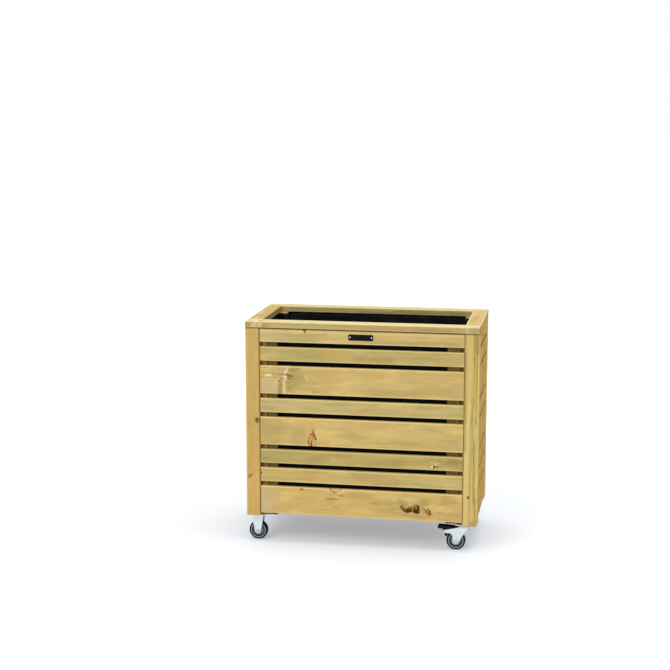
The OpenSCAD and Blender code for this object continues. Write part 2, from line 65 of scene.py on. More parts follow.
def operator(operation, reflected=False):
    """A Python operator that adds a Math or Vector Math node."""
    def method(wire, *others):
        return wire.math(operation, *others, wire) if reflected else wire.math(operation, wire, *others)
    return method


class Wire:
    """A shader socket that takes part in Python expressions."""

    def __init__(self, paint, socket):
        self.paint, self.socket = paint, socket

    def math(self, operation, *values):
        vector = self.socket.type in ("VECTOR", "RGBA")
        kind = "ShaderNodeVectorMath" if vector else "ShaderNodeMath"
        return self.paint.node(kind, {"operation": operation}, dict(enumerate(values)))

    __add__ = __radd__ = operator("ADD")
    __mul__ = __rmul__ = operator("MULTIPLY")
    __sub__, __rsub__ = operator("SUBTRACT"), operator("SUBTRACT", True)
    __truediv__, __rtruediv__ = operator("DIVIDE"), operator("DIVIDE", True)
    __pow__ = operator("POWER")
    __mod__ = operator("FLOORED_MODULO")
    __abs__ = operator("ABSOLUTE")
    least = operator("MINIMUM")
    most = operator("MAXIMUM")


class Paint:
    """The nodes of one material, or of the world."""

    def __init__(self, name, kind="materials"):
        self.made = getattr(bpy.data, kind).new(name)
        self.made.use_nodes = True
        self.tree = self.made.node_tree
        self.tree.nodes.clear()

    def node(self, kind, settings=(), inputs=(), output=0):
        """One node: its type, its settings, then the values or links of its sockets."""
        made = self.tree.nodes.new(kind)
        for key, value in dict(settings).items():
            if key == "stops":
                stops = made.color_ramp.elements
                stops.remove(stops[1])
                stops[0].position, stops[0].color = value[0]
                for position, colour in value[1:]:
                    stops.new(position).color = colour
            elif key == "interpolation":
                made.color_ramp.interpolation = value
            else:
                setattr(made, key, value)
        for key, value in dict(inputs).items():
            socket = made.inputs[key]
            if isinstance(value, Wire):
                self.tree.links.new(value.socket, socket)
            elif socket.type == "VECTOR" and isinstance(value, (int, float)):
                socket.default_value = (value,) * 3
            else:
                socket.default_value = value
        return Wire(self, made.outputs[output]) if made.outputs else None

    def parts(self, vector):
        """The three parts of a vector."""
        split = self.node("ShaderNodeSeparateXYZ", {}, {0: vector})
        return [Wire(self, out) for out in split.socket.node.outputs]

    def place(self):
        """The rest coordinates of a point, in millimetres."""
        return self.parts(self.node("ShaderNodeTexCoord", output="Object") * (1 / MM))

    def ray(self, kind):
        """1 where a ray is of one kind, such as Camera."""
        return self.node("ShaderNodeLightPath", output=f"Is {kind} Ray")

    def vector(self, x=0, y=0, z=0):
        return self.node("ShaderNodeCombineXYZ", {}, {0: x, 1: y, 2: z})

    def cloud(self, place, sizes, detail=2, seed=0, output=0):
        """Noise about 0.5, its clouds this big each way in millimetres. Its Color is three noises."""
        scaled = self.vector(*(part / size for part, size in zip(place, sizes)))
        return self.node("ShaderNodeTexNoise", {"noise_dimensions": "4D"},
                         {"Vector": scaled, "Scale": 1, "Detail": detail, "W": seed}, output)

    def ramp(self, value, stops, interpolation="LINEAR"):
        return self.node("ShaderNodeValToRGB", {"interpolation": interpolation, "stops": stops}, {0: value})

    def rise(self, value, low, high, bottom=0, top=1):
        """Goes smoothly from bottom to top as the value goes from low to high."""
        return self.node("ShaderNodeMapRange", {"interpolation_type": "SMOOTHSTEP"}, {
            "Value": value, "From Min": low, "From Max": high, "To Min": bottom, "To Max": top})

    def fall(self, value, low, high, top=1):
        return self.rise(value, low, high, top, 0)

    def mix(self, factor, first, second):
        return self.node("ShaderNodeMix", {"data_type": "RGBA"}, {0: factor, 6: first, 7: second}, 2)

    def away(self, first, second):
        """How long a step with these two parts is."""
        return (first * first + second * second) ** 0.5

    def length(self, vector):
        return self.node("ShaderNodeVectorMath", {"operation": "LENGTH"}, {0: vector}, "Value")

    def fused(self, first, second, third, clamped=False):
        """The product of two values plus a third."""
        return self.node("ShaderNodeMath", {"operation": "MULTIPLY_ADD", "use_clamp": clamped},
                         {0: first, 1: second, 2: third})

    def beside(self, spot, x0, y0, x1, y1, width, last_width):
        """How far a spot is from a line, in half widths of that line, squared."""
        run_x, run_y = x1 - x0, y1 - y0
        size = run_x ** 2 + run_y ** 2
        share = self.fused(spot[0], run_x / size, -(x0 * run_x + y0 * run_y) / size)
        share = self.fused(spot[1], run_y / size, share, True)
        step_x = self.fused(share, -run_x, spot[0] - x0)
        step_y = self.fused(share, -run_y, spot[1] - y0)
        broad = self.fused(share, last_width - width, width)
        return self.fused(step_x, step_x, step_y * step_y) / (broad * broad)

    def done(self, colour, roughness, relief=None, depth=0, metallic=0, specular=0.5, others=()):
        """Closes the tree over one shader and gives the material. The relief goes from 0 to 1 for a depth in
        millimetres, and others are more sockets."""
        sockets = {"Base Color": colour, "Roughness": roughness, "Metallic": metallic,
                   "Specular IOR Level": specular, **dict(others)}
        if relief is not None:
            sockets["Normal"] = self.node("ShaderNodeBump", {}, {"Height": relief, "Distance": depth * MM})
        surface = self.node("ShaderNodeBsdfPrincipled", {}, sockets)
        self.node("ShaderNodeOutputMaterial", {}, {"Surface": surface})
        return self.made


# ---------- Places taken from the frame, in millimetres ----------

SIDES = {"front": -1, "rear": 1}


def middle_of(node):
    low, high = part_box(node)
    return (low + high) / 2 / MM


def cross_of(node, lie):
    """Middle and half size of a node across its grain: (wide, deep) of each."""
    low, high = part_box(node)
    pick = {"x": (2, 1), "y": (2, 0), "z": (0, 1)}[lie]
    return tuple((low[i] + high[i]) / 2 / MM for i in pick), tuple((high[i] - low[i]) / 2 / MM for i in pick)


def ends_of(node, lie):
    """Where a node stops along its grain."""
    return tuple(c["xyz".index(lie)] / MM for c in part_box(node))


# The slats from the top: their middles' heights and half widths
SLATS = [cross_of(f"front_slat_{n}", "x") for n in range(1, 9)]
SLAT_MIDDLES = [middle[0] for middle, _ in SLATS]
SLAT_HALVES = [half[0] for _, half in SLATS]
FRAME_TOP = SLAT_MIDDLES[0] + SLAT_HALVES[0]
FRAME_FOOT = SLAT_MIDDLES[-1] - SLAT_HALVES[-1]
IN_GAP = 7          # a height in the open gap above a slat

RIGID_X = middle_of("rigid_fork_front").x
SWIVEL_X = middle_of("swivel_plate_front").x
CASTER_Y = abs(middle_of("swivel_plate_front").y)
SCREW_X, SCREW_Y = 21, 19        # the screws' places from their plate's middle
TYRE_RADIUS = middle_of("rigid_tyre_front").z
DISH_RADIUS = 26                 # how far out the wheel centres' colours are given
RUB_FOOT, RUB_TOP = 66, 76       # heights between which shoes come to rub the pedals


# ---------- Timber ----------

# Heart and outline of a plain knot, and how strong the outline is
KNOTS = {"brown": (srgb(150, 104, 54), srgb(84, 54, 24), 0.8),
         "pin": (srgb(92, 66, 30), srgb(80, 58, 26), 0.8),
         "faint": (srgb(196, 162, 96), srgb(168, 134, 76), 0.4)}
KNOT_ALONG, KNOT_ACROSS = 170, 62       # one chance knot at most in an area of this size


def stacked_slats(paint, z):
    """Middle and half width of the slat that a height is in, and its number in eighths."""
    height = FRAME_TOP - FRAME_FOOT
    edges = [(m + h + IN_GAP - FRAME_FOOT) / height for m, h in zip(SLAT_MIDDLES, SLAT_HALVES)][::-1]
    steps = list(zip([0] + edges[:-1], SLAT_MIDDLES[::-1], SLAT_HALVES[::-1]))
    stops = [(at, (m / 1000, h / 1000, n / 8, 1)) for n, (at, m, h) in enumerate(steps)]
    red, green, blue = paint.parts(paint.ramp((z - FRAME_FOOT) / height, stops, "CONSTANT"))
    return red * 1000, green * 1000, blue


def chance_knot(paint, along, wide, slat, ripple, share):
    """How far a point is from the nearest chance knot, in that knot's radii. A share of the areas has one."""
    settings = {"voronoi_dimensions": "3D", "feature": "F1"}
    cell = paint.vector(along / KNOT_ALONG, wide / KNOT_ACROSS, slat * 9.1)
    inputs = {"Vector": cell, "Scale": 1, "Randomness": 0.85}
    near = paint.node("ShaderNodeTexVoronoi", settings, inputs, "Position")
    chance, size, _ = paint.parts(paint.node("ShaderNodeTexVoronoi", settings, inputs, "Color"))
    knot_along, knot_wide, _ = paint.parts(near)
    wobble, sway, _ = paint.parts(ripple)
    radius = size * 7 + 2.2
    step = paint.away((along - knot_along * KNOT_ALONG + wobble * 7) / radius / 1.3,
                      (wide - knot_wide * KNOT_ACROSS + sway * 7) / radius)
    return step + paint.rise(chance, share, share + 0.01, 0, 30)


def tinted(paint, grain, tone, tints):
    """Wood with other tones where a noise is high or low: (noise, low, high, bottom, top, factor, warmth)."""
    for value, low, high, bottom, top, factor, warmth in tints:
        grain = paint.mix(paint.rise(value, low, high, bottom, top), grain, toned(tone, factor, warmth))
    return grain


def clean_wood(paint, place, tone, seed, late, contrast, green):
    """The colour of wood without knots or marks, and the streaks and fibres in it."""
    fibre = paint.cloud(place, (26, 0.9, 0.9), 2, seed)
    streak = paint.cloud(place, (210, 8, 8), 2, seed)
    area = paint.cloud(place, (150, 48, 48), 2, seed)
    grain = paint.mix(late * (0.55 * contrast), toned(tone, 1.07), toned(tone, 0.80, 0.03))
    grain = tinted(paint, grain, tone, [
        (streak, 0.36, 0.70, 0, 0.42, 0.82, 0.035), (area, 0.50, 0.78, 0, 0.38, 1.08, 0.045),
        (area, 0.26, 0.48, green, 0, 0.91, -0.075), (fibre, 0.50, 0.80, 0, 0.22, 0.74, 0.03)])
    pale, warm, _ = paint.parts(paint.cloud(place, (80, 24, 24), 3, seed, "Color"))
    grain = tinted(paint, grain, tone, [
        (pale, 0.50, 0.66, 0, 0.75, 1.20, 0.01), (pale, 0.34, 0.48, 0.6, 0, 0.80, 0.0),
        (warm, 0.52, 0.70, 0, 0.6, 1.0, 0.10)])
    return grain, streak, fibre


def stroked(paint, grain, near, marks):
    """Wood with marks along straight lines, soft at their edges."""
    for *line, colour, strength in marks:
        grain = paint.mix(paint.fall(paint.beside(near, *line), 0.05, 2.6, strength), grain, colour)
    return grain


def knotted(paint, grain, spots, pores):
    """Wood with its knots, and how far they are sunk in."""
    dents = 0
    for step, look in spots:
        heart, outline, strength = KNOTS[look]
        swirl = paint.node("ShaderNodeMath", {"operation": "SINE"}, {0: step * 21})
        grain = paint.mix(paint.fall(step, 1.0, 2.6, 0.35), grain, toned(heart, 1.55, 0.06))
        ragged = paint.fall(step, 0.92, 1.30, strength) * paint.rise(pores, 0.2, 0.5)
        grain = paint.mix(ragged, grain, outline)
        body = paint.mix(swirl * 0.3 + 0.3, heart, toned(heart, 0.72, 0.02))
        grain = paint.mix(paint.fall(step, 0.66, 0.92), grain, body)
        dents = paint.fall(step, 0.8, 1.1) + dents
    return grain, dents


def timber(name, lie, tone, seed, middle=(0, 0), half=(0, 0), pith=(12, 30), rings=3.4, contrast=1.0,
           knots=(), washes=(), strokes=(), tops=(), ends=None, pale_end=False, shade=0.0, scatter=0.0,
           stacked=False, green=0.35, rough=0.0, worn=0.9):
    """Planed pine. lie is the grain's axis; middle, half and pith are across it, in millimetres, and rings
    is one growth ring's width. knots are (along, across, half length, half width, look), and one without a
    look only bends the rings. washes are (along, across, half length, half width, colour, strength).
    strokes are (start's two places, stop's, half width at each, colour, strength) on the face, and tops the
    same in (along, through the thickness). ends is where the board stops, and painted shade darkens it there
    where it meets its neighbours; pale_end leaves its second end without that shade, and shade darkens it
    close under the rim. scatter is the share of places with a chance knot, and stacked is for a panel whose
    eight slats share one material. green and rough are how strong greenish areas and saw marks are, and the
    last argument is how strong the painted highlights on the long arrises are."""
    paint = Paint(name)
    x, y, z = paint.place()
    along, wide, deep = {"x": (x, z, y), "y": (y, z, x), "z": (z, x, y)}[lie]
    (wide_middle, deep_middle), (wide_half, deep_half), slat = middle, half, 0.0
    if stacked:
        wide_middle, wide_half, slat = stacked_slats(paint, z)
        seed = slat * 61.7 + seed
    off_wide, off_deep = wide - wide_middle, deep - deep_middle
    place = along, off_wide, off_deep

    # Slow wander of the pith, then the rings' distance from it
    slow = paint.cloud(place, (420, 120, 120), 1, seed) - 0.5
    quick = paint.cloud(place, (95, 26, 26), 2, seed) - 0.5
    ring = paint.away(off_wide - pith[0] + slow * 44, off_deep - pith[1] + slow * 17) + quick * 5.0
    ripple = paint.cloud(place, (11, 6, 6), 2, seed, "Color") - 0.5
    drift = paint.cloud(place, (70, 26, 26), 3, seed, "Color") - 0.5
    rippled = paint.vector(along, wide) + ripple * (7, 6, 0)
    drifted = paint.vector(along, wide) + drift * (90, 24, 0)
    spots = []
    for at, across, length, width, look in knots:
        step = paint.length((rippled - (at, across, 0)) / (length, width, 1))
        ring = ring + paint.fall(step, 0.3, 3.2, width * 1.3)
        if look:
            spots.append((step, look))
    if scatter:
        step = chance_knot(paint, along, wide, slat, ripple, scatter)
        ring = ring + paint.fall(step, 0.3, 3.2, 8)
        spots.append((step, "brown"))
    spread = paint.cloud((ring,), (21,), 1, seed) - 0.5
    turn = (ring / rings + spread * 3.0) % 1.0
    late = paint.rise(turn, 0.30, 0.86) - paint.rise(turn, 0.90, 1.0)

    grain, streak, fibre = clean_wood(paint, place, tone, seed, late, contrast, green)
    for at, across, length, width, colour, strength in washes:
        step = paint.length((drifted - (at, across, 0)) / (length, width, 1))
        grain = paint.mix(paint.fall(step, 0.25, 1.2, strength), grain, colour)

    # Painted highlights on the long arrises, and painted shade where the board's ends meet its neighbours
    pores = paint.cloud(place, (3, 1.6, 1.6), 2, seed)
    if deep_half:
        edge = (wide_half - abs(off_wide)).most(deep_half - abs(off_deep))
        bright = paint.fall(edge, 1.6, 5.4, worn) * paint.rise(streak + pores * 0.4, 0.35, 0.85, 0.6, 1)
        grain = paint.mix(bright, grain, toned(tone, 1.42, -0.05))
    if ends:
        joint_shade = paint.fall(along - ends[0], 0.5, 3.8, 0.8)
        if not pale_end:
            joint_shade = joint_shade.most(paint.fall(ends[1] - along, 0.5, 3.8, 0.8))
        grain = paint.mix(joint_shade, grain, toned(tone, 0.36, 0.14))

    wobble, sway, _ = paint.parts(ripple)
    reach = along + wobble * 7
    grain = stroked(paint, grain, (reach, wide + sway * 6), strokes)
    grain = stroked(paint, grain, (reach, deep + sway * 6), tops)
    if shade:
        under_rim = paint.rise(z, FRAME_TOP - 5.4, FRAME_TOP - 2.2, 0, shade)
        grain = paint.mix(under_rim, grain, srgb(88, 62, 24))
    grain, dents = knotted(paint, grain, spots, pores)

    # Sawn ends
    facing = paint.parts(paint.node("ShaderNodeTexCoord", output="Normal"))["xyz".index(lie)]
    end = paint.rise(facing * -1 if pale_end else abs(facing), 0.6, 0.9)
    end_colour = paint.mix(late, toned(tone, 0.90, 0.03), toned(tone, 0.56, 0.05))
    grain = paint.mix(end * 0.85, grain, paint.mix(pores * 0.4, end_colour, toned(tone, 0.6)))
    if rough:
        saw = paint.cloud(place, (2.2, 30, 30), 2, seed)
        grain = paint.mix(saw * rough, grain, toned(tone, 0.62))
        relief = saw * 0.7 + fibre * 0.3
    else:
        relief = fibre * 0.45 + late * 0.35 - dents * 0.4
    roughness = paint.rise(streak, 0.3, 0.7, 0.62, 0.74) - late * 0.06
    return paint.done(grain, roughness, relief, 0.9 if rough else 0.28, specular=0.03)


def dress(node, material):
    """Gives a CAD node its material, in every slot."""
    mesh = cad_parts[node].data
    mesh.materials.clear()
    mesh.materials.append(material)


# Colours of the marks, and of a painted highlight along top arrises
HONEY = srgb(206, 173, 102)
GREENISH = srgb(184, 168, 108)
MOSS = srgb(184, 162, 96)
PALE_BEIGE = srgb(212, 190, 142)
LIGHT = srgb(228, 206, 150)
IVORY = srgb(252, 230, 170)
STRAW = srgb(220, 194, 124)
AMBER = srgb(214, 176, 108)
PEACH = srgb(218, 168, 106)
OLIVE = srgb(178, 158, 96)
GREY_BEIGE = srgb(206, 188, 150)
ROSE = srgb(198, 174, 130)
TAN = srgb(172, 140, 88)
BRONZE = srgb(140, 108, 46)
UMBER = srgb(104, 70, 16)
SOOT = srgb(72, 46, 8)
SIENNA = srgb(182, 104, 50)
RUST = srgb(160, 98, 32)
TOP_ARRIS_HIGHLIGHT = srgb(232, 220, 173)


def board(node, lie, **look):
    """Dresses a board in timber of its own."""
    middle, half = cross_of(node, lie)
    dress(node, timber(f"timber_{node}", lie, middle=middle, half=half, **look))


def front_slat(number, **look):
    """Dresses one of the front slats, counted from the top."""
    node = f"front_slat_{number}"
    board(node, "x", ends=ends_of(node, "x"), pale_end=True, **look)


# The first slat's long pale stroke near its top is painted light that lifts the shade under the rim
front_slat(1, tone=srgb(203, 180, 117), seed=1.3, pith=(30, 60), shade=0.95,
    knots=[(-178, 700, 5, 6, None)],
    washes=[(-290, 678, 70, 22, PALE_BEIGE, 0.4), (-215, 690, 30, 8, STRAW, 0.6),
        (-215, 672, 40, 7, ROSE, 0.5), (-190, 662, 60, 6, GREENISH, 0.6), (-130, 690, 40, 8, OLIVE, 0.5),
        (-90, 688, 30, 7, STRAW, 0.6), (-80, 671, 60, 5, OLIVE, 0.5), (20, 682, 60, 12, AMBER, 0.4),
        (150, 692, 120, 7, AMBER, 0.5), (180, 668, 130, 9, OLIVE, 0.6), (295, 664, 40, 8, OLIVE, 0.6)],
    strokes=[(-318, 692, 318, 692, 3.6, 3.6, srgb(232, 206, 140), 0.55),
        (-182, 701, -178.5, 692, 3.2, 1.4, UMBER, 0.9), (-174, 701, -176.5, 692.5, 2.8, 1.4, SOOT, 0.85),
        (-178, 699, -178, 696, 1.2, 1, TAN, 0.8), (-176, 689, -172, 683, 1.4, 1, TAN, 0.6)])
front_slat(2, tone=srgb(193, 172, 109), seed=2.7, pith=(-8, 70), contrast=0.8,
    washes=[(-220, 622, 110, 14, GREENISH, 0.5), (60, 612, 120, 10, OLIVE, 0.4),
        (230, 628, 90, 8, HONEY, 0.4)])
front_slat(3, tone=srgb(208, 180, 116), seed=3.1, pith=(20, 34), rings=5.5, contrast=0.8,
    knots=[(-236, 545, 16, 16, None)],
    washes=[(-296, 572, 24, 12, STRAW, 0.9), (-294, 520, 34, 30, srgb(206, 184, 130), 0.8),
        (-318, 512, 10, 22, OLIVE, 0.7), (-253, 566, 12, 16, ROSE, 0.9),
        (-268, 512, 12, 20, PALE_BEIGE, 0.6), (-210, 535, 34, 60, MOSS, 0.9), (-212, 570, 30, 12, TAN, 0.6),
        (-228, 508, 16, 16, srgb(174, 148, 94), 0.7), (-120, 540, 60, 40, AMBER, 0.4),
        (-150, 519, 50, 6, STRAW, 0.6), (0, 528, 150, 14, STRAW, 0.35), (40, 562, 160, 10, AMBER, 0.5),
        (120, 505, 120, 12, MOSS, 0.5), (240, 560, 110, 10, AMBER, 0.5), (250, 520, 90, 20, OLIVE, 0.45)],
    strokes=[(-318, 557, -266, 556.5, 1, 1, TAN, 0.55), (-318, 543.5, -268, 543, 1, 1.2, TAN, 0.5),
        (-320, 575, -296, 574.5, 1.4, 1, BRONZE, 0.45), (-303, 550.4, -286, 550.4, 2.4, 2, IVORY, 0.9),
        (-256, 529, -257, 497, 5.5, 6.5, srgb(168, 140, 90), 0.8),
        (-232, 580, -238.5, 562, 4.5, 3.6, LIGHT, 0.85), (-238.5, 562, -240.5, 545, 3.4, 3.2, LIGHT, 0.9),
        (-240.5, 545, -244, 528, 3.2, 4.2, LIGHT, 0.75), (-244, 528, -244, 496, 4.5, 5, LIGHT, 0.75),
        (-240, 564, -240, 561, 2.6, 2.4, IVORY, 0.7), (-240.5, 548, -240.5, 545, 3, 2.4, IVORY, 0.7),
        (-262, 554, -243, 553.5, 2.6, 2, TAN, 0.7), (-237, 554, -217, 550, 3, 2.4, BRONZE, 0.85),
        (-228, 550, -220, 548, 2.6, 2, UMBER, 0.45), (-232, 545.5, -223, 538, 1.9, 1.9, BRONZE, 0.8),
        (-226, 542, -204, 541.5, 1.3, 1.1, BRONZE, 0.5), (-242, 528, -229, 528, 1.8, 1.4, BRONZE, 0.55),
        (-260.5, 532, -260.5, 531, 2.6, 2.4, UMBER, 0.9), (-260.5, 539, -260, 537, 2.2, 2, LIGHT, 0.8),
        (-266, 528, -259, 526, 1.6, 1.4, LIGHT, 0.6), (-256, 541.5, -252, 540, 1.5, 1.2, UMBER, 0.7),
        (-176, 552, -171, 538, 3, 2.4, LIGHT, 0.6), (-150, 502, -138, 501, 3, 3, TAN, 0.5)])
front_slat(4, tone=srgb(201, 180, 117), seed=4.9, pith=(4, 80), contrast=0.8,
    washes=[(-240, 455, 90, 18, PALE_BEIGE, 0.35), (80, 446, 140, 10, AMBER, 0.3),
        (250, 462, 80, 9, GREENISH, 0.5), (290, 438, 50, 6, HONEY, 0.6)],
    strokes=[(316, 432, 318, 470, 1.4, 1.4, OLIVE, 0.6), (308, 436, 311, 466, 1.2, 1.2, OLIVE, 0.35)])
front_slat(5, tone=srgb(211, 183, 116), seed=5.4, pith=(-18, 40), rings=5, contrast=0.8,
    knots=[(-155, 346, 13, 26, None), (-238, 352, 2.4, 2.2, "faint"), (-301, 344, 2.2, 2, "faint")],
    washes=[(-290, 370, 60, 60, OLIVE, 0.4), (-200, 352, 44, 44, OLIVE, 0.55),
        (-166, 372, 12, 14, PEACH, 0.35), (-118, 362, 20, 26, srgb(228, 190, 120), 0.85),
        (-84, 395, 40, 16, STRAW, 0.6), (-20, 362, 60, 14, TAN, 0.35), (10, 396, 80, 14, AMBER, 0.7),
        (70, 372, 110, 12, STRAW, 0.6), (60, 345, 120, 10, MOSS, 0.35),
        (180, 370, 60, 20, srgb(222, 192, 130), 0.4), (250, 352, 90, 26, GREENISH, 0.4),
        (295, 402, 34, 8, STRAW, 0.6)],
    strokes=[(-154, 368, -155, 330, 8, 10, srgb(214, 168, 104), 0.6),
        (-151, 382, -151, 370, 2.8, 3.2, TAN, 0.6), (-135, 357, -137, 346, 4, 3, LIGHT, 0.5),
        (-142, 334, -140, 331, 3.4, 3, PEACH, 0.7), (-160, 362, -165, 351, 1.6, 1.8, BRONZE, 0.8),
        (-165, 351, -167, 334, 1.6, 2.4, BRONZE, 0.85), (-167, 337, -166, 329, 2.2, 2, UMBER, 0.5),
        (-152, 372, -153, 360, 3, 2.4, SIENNA, 0.9), (-148.5, 365, -142.5, 348, 2, 2.8, UMBER, 0.9),
        (-158.5, 358, -157.5, 352, 1.8, 1.6, LIGHT, 0.7),
        (-158.5, 363.5, -157.5, 362.5, 2.2, 2.2, UMBER, 0.9),
        (-153.5, 354, -153.5, 348, 4.4, 4, SIENNA, 0.55), (-149, 344, -147, 326, 2.4, 2.6, PEACH, 0.7),
        (-157, 343, -157, 324, 1.8, 3, RUST, 0.9), (-157, 336, -157, 324, 1.2, 2, UMBER, 0.7),
        (-144.5, 332, -144.5, 325, 1.4, 1.6, TAN, 0.6)])
front_slat(6, tone=srgb(190, 168, 104), seed=6.2, pith=(6, 90), contrast=0.8,
    knots=[(236, 277, 8, 6, None), (-305, 302, 2, 2, "faint")],
    washes=[(-250, 290, 120, 24, GREENISH, 0.4), (150, 292, 120, 10, MOSS, 0.5),
        (180, 274, 60, 6, STRAW, 0.6), (262, 271, 50, 6, srgb(204, 190, 120), 0.7),
        (292, 292, 44, 16, srgb(166, 142, 86), 0.8)],
    strokes=[(222, 288.5, 247, 288.5, 2, 1.6, LIGHT, 0.55), (221, 296.5, 229, 296.5, 2, 1.8, TAN, 0.5),
        (246, 297, 256, 294, 2.6, 3, srgb(146, 132, 88), 0.55), (230, 276, 240, 280, 4.6, 4, LIGHT, 0.8),
        (228, 274, 229, 278, 2.2, 2.2, IVORY, 0.7), (234, 282, 242, 281, 1.8, 1.8, IVORY, 0.6),
        (234, 278, 232.5, 273, 3.2, 2.8, UMBER, 0.95), (241, 277.5, 243, 276, 2.4, 2, UMBER, 0.85),
        (-312, 281, -296, 280.5, 1.2, 1, BRONZE, 0.6)])
front_slat(7, tone=srgb(204, 179, 112), seed=7.8, pith=(-12, 60), contrast=0.9,
    knots=[(-320, 229, 2.4, 2.2, "pin")],
    washes=[(220, 225, 120, 20, PALE_BEIGE, 0.3), (200, 238, 60, 6, PEACH, 0.4),
        (-120, 225, 140, 18, AMBER, 0.3), (120, 214, 100, 6, MOSS, 0.4)],
    strokes=[(318, 208, 319, 244, 1.4, 1.4, OLIVE, 0.5)])
front_slat(8, tone=srgb(213, 183, 114), seed=8.5, pith=(10, 24), rings=6, contrast=0.8,
    knots=[(158, 133, 13, 9, None), (179, 136, 9, 11, None), (-80, 186, 14, 10, None),
        (-189.5, 182.5, 4, 2.2, "pin")],
    washes=[(-312, 140, 40, 60, GREY_BEIGE, 0.6), (-92, 148, 24, 12, srgb(196, 162, 96), 0.5),
        (110, 154, 20, 10, srgb(196, 160, 102), 0.5), (137, 146, 20, 22, srgb(170, 156, 100), 0.8),
        (165, 165, 20, 8, STRAW, 0.7), (207, 158, 24, 18, srgb(180, 154, 88), 0.75),
        (222, 120, 26, 6, PEACH, 0.75), (170, 112, 60, 8, srgb(176, 150, 92), 0.5),
        (-30, 140, 110, 30, AMBER, 0.5), (60, 150, 50, 14, TAN, 0.25),
        (285, 168, 40, 14, srgb(188, 158, 98), 0.6), (290, 118, 40, 16, srgb(200, 164, 100), 0.6)],
    strokes=[(-97, 187, -84, 176.5, 1.8, 2.2, BRONZE, 0.8), (-84, 176, -77, 176, 2, 1.8, UMBER, 0.7),
        (-86, 184, -72, 183, 4.5, 4.5, srgb(198, 178, 134), 0.7),
        (-65, 184, -62, 188, 1.6, 1.6, BRONZE, 0.8), (-100, 182, -88, 173, 1.8, 1.6, LIGHT, 0.6),
        (-72, 174, -60, 183, 1.8, 2, LIGHT, 0.6), (-98, 171, -95, 168, 3.4, 3, TAN, 0.5),
        (-67, 168, -56, 168, 3.6, 3, TAN, 0.65), (-114, 155, -92, 155, 1.4, 3.4, TAN, 0.8),
        (-92, 155, -70, 155, 3.4, 1.2, TAN, 0.8), (42, 148, 58, 148, 2, 2.6, srgb(190, 146, 88), 0.6),
        (-88, 128, -70, 128, 1.4, 1.4, TAN, 0.5), (131, 142, 140, 131, 3.6, 5, UMBER, 0.8),
        (141, 128, 151, 124.5, 4, 3.6, srgb(112, 84, 22), 0.95), (149, 138, 152, 146, 1.6, 1.8, LIGHT, 0.5),
        (152, 146.5, 165, 148, 1.8, 1.6, LIGHT, 0.5),
        (155, 141, 163, 141.5, 3.2, 3.2, srgb(160, 132, 74), 0.85),
        (150, 131, 164, 133, 5.2, 6, UMBER, 0.98), (154, 127.5, 164, 128, 3.8, 3.8, SOOT, 0.9),
        (167, 144, 169, 139, 2.2, 2, BRONZE, 0.9), (177, 138, 180, 131, 8, 8.4, srgb(112, 72, 20), 0.98),
        (172, 146, 178, 150.5, 1.8, 2, srgb(172, 152, 62), 0.75),
        (178, 150.5, 185, 146, 2, 2, srgb(140, 116, 40), 0.8), (184.5, 145, 186, 130, 3.2, 3.4, SOOT, 0.98),
        (172, 137, 173, 128, 2.6, 3, UMBER, 0.8), (174, 128, 185, 126, 4.8, 4.4, SOOT, 0.95),
        (178, 141, 179, 139, 2.4, 2.2, srgb(156, 134, 56), 0.85),
        (168.6, 140, 168, 129, 1.2, 1.4, LIGHT, 0.4),
        (189, 129, 192, 126, 2.8, 2.4, srgb(168, 148, 108), 0.7),
        (188, 141, 201, 132, 1.3, 1.3, BRONZE, 0.7), (197, 136, 203, 127.5, 1.3, 1.2, TAN, 0.8),
        (202, 141, 212, 131, 1.6, 1.8, UMBER, 0.65), (216, 137, 222, 129, 1.8, 2.2, UMBER, 0.8),
        (221, 131, 224.5, 121.5, 2.6, 2.8, UMBER, 0.9), (211, 128, 221, 119, 3.2, 3.4, RUST, 0.9),
        (213, 133, 217, 127, 1.2, 1.2, BRONZE, 0.6), (240, 157, 274, 157, 1.3, 1.8, TAN, 0.45),
        (248, 129, 263, 128.5, 1.6, 1.4, TAN, 0.5), (172, 118, 182, 117, 1.8, 1.6, TAN, 0.6),
        (96, 134, 128, 133, 1.2, 1.4, TAN, 0.4)])
# The pale strokes along the top arris and down the left end are painted highlights
board("rim_front", "x", tone=srgb(188, 166, 106), seed=9.1, pith=(40, 20), worn=1,
    washes=[(-364, 708, 15, 24, srgb(168, 166, 88), 0.8), (-342, 710, 12, 30, srgb(222, 200, 160), 0.85),
        (328, 710, 34, 30, GREY_BEIGE, 0.3), (60, 705, 130, 8, AMBER, 0.4),
        (-120, 709, 150, 10, srgb(206, 184, 124), 0.5), (-240, 706, 60, 6, srgb(200, 180, 126), 0.5),
        (220, 708, 130, 12, srgb(174, 144, 88), 0.9), (130, 708, 70, 6, ROSE, 0.5)],
    strokes=[(-366, 722.5, -250, 722.5, 2.3, 2.1, srgb(232, 214, 168), 0.7),
        (-250, 722.5, 366, 722.5, 2.2, 2, TOP_ARRIS_HIGHLIGHT, 0.7), (-372, 714, -371, 704, 2.4, 2.4, LIGHT, 0.8),
        (-316, 708, -300, 707.5, 2.2, 1.6, TAN, 0.6), (-318, 706, -298, 706, 1.6, 1.6, TAN, 0.7),
        (-300, 716, -180, 715, 1.8, 1.8, OLIVE, 0.25), (-180, 706, -60, 707, 1.6, 1.6, TAN, 0.2),
        (-100, 714, 20, 713, 1.8, 1.8, OLIVE, 0.2), (-10, 707, 140, 708, 2, 2, srgb(176, 146, 96), 0.5),
        (150, 713, 310, 712, 1.8, 1.8, srgb(206, 172, 134), 0.5),
        (330, 719, 331, 703, 2.2, 2.2, LIGHT, 0.5), (352, 719, 352, 703, 2, 2, TAN, 0.4)],
    tops=[(-322, -182, -318, -174, 3.4, 3, UMBER, 0.95),
        (-322, -190.5, -318, -190.5, 2.2, 2.2, IVORY, 0.3)])
